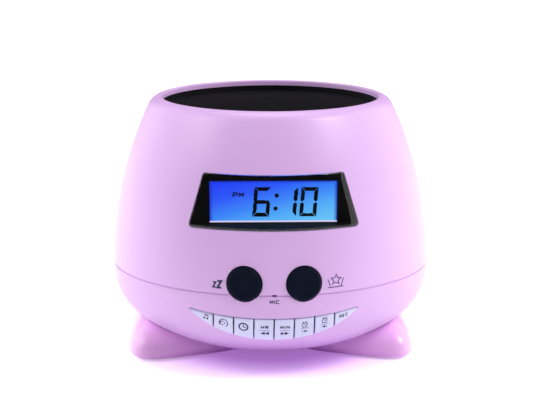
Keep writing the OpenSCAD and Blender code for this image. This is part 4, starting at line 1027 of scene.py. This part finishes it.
# ---- Floor, lamps and camera ----
bpy.ops.mesh.primitive_plane_add(size=12, location=(0, 0, 0))
floor = bpy.context.object
floor.name = "studio_floor"
edit(floor)
bpy.ops.mesh.select_all(action="SELECT")
bpy.ops.mesh.subdivide(number_cuts=6)
leave_edit()
floor_paint, tree, shader = new_material("white_studio_floor", Roughness=0.6, Specular_IOR_Level=0.2,
                                         Base_Color=linear("#f6f6f7"))
where = add_node(tree, "ShaderNodeTexCoord").outputs["Object"]
# Painted shade and painted shadow: the floor's glow is weakest under the clock, and there the floor has a
# painted purple tint in the case's colour. Distances are in metres.
SHADE_FROM, SHADE_TO, SHADE_LEAST = 0.05, 0.16, 0.42
PAINTED_TINT_FROM, PAINTED_TINT_TO, BOUNCED_SHARE = 0.035, 0.078, 0.11
away = add_node(tree, "ShaderNodeVectorMath", {0: where}, operation="LENGTH")
spread = add_node(tree, "ShaderNodeMapRange",
                  {"Value": away.outputs["Value"], "From Min": SHADE_FROM, "From Max": SHADE_TO,
                   "To Min": SHADE_LEAST, "To Max": 1.0})
# Painted shadow: a purple tint in the case's colour, full under the clock and gone further out.
under = add_node(tree, "ShaderNodeMapRange",
                 {"Value": away.outputs["Value"], "From Min": PAINTED_TINT_FROM, "From Max": PAINTED_TINT_TO})
painted_shadow_tint = add_node(tree, "ShaderNodeMix",
                 {0: under.outputs["Result"], 6: linear("#d79bf0"), 7: linear("#fcfbfd")}, data_type="RGBA")
tree.links.new(painted_shadow_tint.outputs[2], shader.inputs["Base Color"])
path = add_node(tree, "ShaderNodeLightPath")
seen = add_node(tree, "ShaderNodeMath", {0: path.outputs["Is Camera Ray"], 1: path.outputs["Is Glossy Ray"]},
                operation="MAXIMUM")
seen = add_node(tree, "ShaderNodeMath", {0: seen.outputs[0], 1: path.outputs["Is Transmission Ray"]},
                operation="MAXIMUM")
share = add_node(tree, "ShaderNodeMapRange",
                 {"Value": seen.outputs[0], "To Min": BOUNCED_SHARE, "To Max": 1.0})
lift = add_node(tree, "ShaderNodeMath", {0: share.outputs["Result"], 1: spread.outputs["Result"]},
                operation="MULTIPLY")
tree.links.new(lift.outputs[0], shader.inputs["Emission Strength"])
tree.links.new(painted_shadow_tint.outputs[2], shader.inputs["Emission Color"])
floor.data.materials.append(floor_paint)


def softbox(name, place_at, aim, width, height, power):
    """A rectangular white lamp. Places and sizes are in metres, the power is in watts."""
    bpy.ops.object.light_add(type="AREA", location=place_at)
    lamp = bpy.context.object
    lamp.name = name
    lamp.data.shape, lamp.data.size, lamp.data.size_y = "RECTANGLE", width, height
    lamp.data.energy = power
    lamp.rotation_euler = (Vector(aim) - Vector(place_at)).to_track_quat("-Z", "Y").to_euler()


softbox("left_wall", (-0.7, 0.44, 0.42), (0, 0.44, 0.42), 1.36, 0.84, 5.8)
softbox("right_wall", (0.7, 0.32, 0.42), (0, 0.32, 0.42), 1.4, 0.84, 4.8)
softbox("right_high", (0.8, -0.42, 0.93), (0, 0, 0.06), 0.4, 0.4, 9.2)
softbox("left_high", (-0.83, -0.3, 0.8), (0, 0, 0.06), 0.45, 0.45, 4.7)
softbox("overhead", (0, 0.2, 1.0), (0, 0, 0.1), 0.5, 0.5, 2.8)

world = bpy.data.worlds.new("studio")
world.use_nodes = True
sky = world.node_tree.nodes["Background"]
sky.inputs["Color"].default_value = linear("#ffffff")
sky.inputs["Strength"].default_value = 0.04
bpy.context.scene.world = world

AZIMUTH, ELEVATION, DISTANCE, LENS, SENSOR = math.radians(-1.3), math.radians(12.05), 0.8, 111.9, 36
aim = Vector((-0.00086, 0, 0.0666))
bpy.ops.object.camera_add()
camera = bpy.context.object
away = Vector((math.sin(AZIMUTH) * math.cos(ELEVATION), -math.cos(AZIMUTH) * math.cos(ELEVATION),
               math.sin(ELEVATION)))
camera.location = aim + DISTANCE * away
camera.rotation_euler = (-away).to_track_quat("-Z", "Y").to_euler()
camera.data.lens, camera.data.sensor_width = LENS, SENSOR
bpy.context.scene.camera = camera
bpy.context.scene.view_settings.view_transform = "Standard"
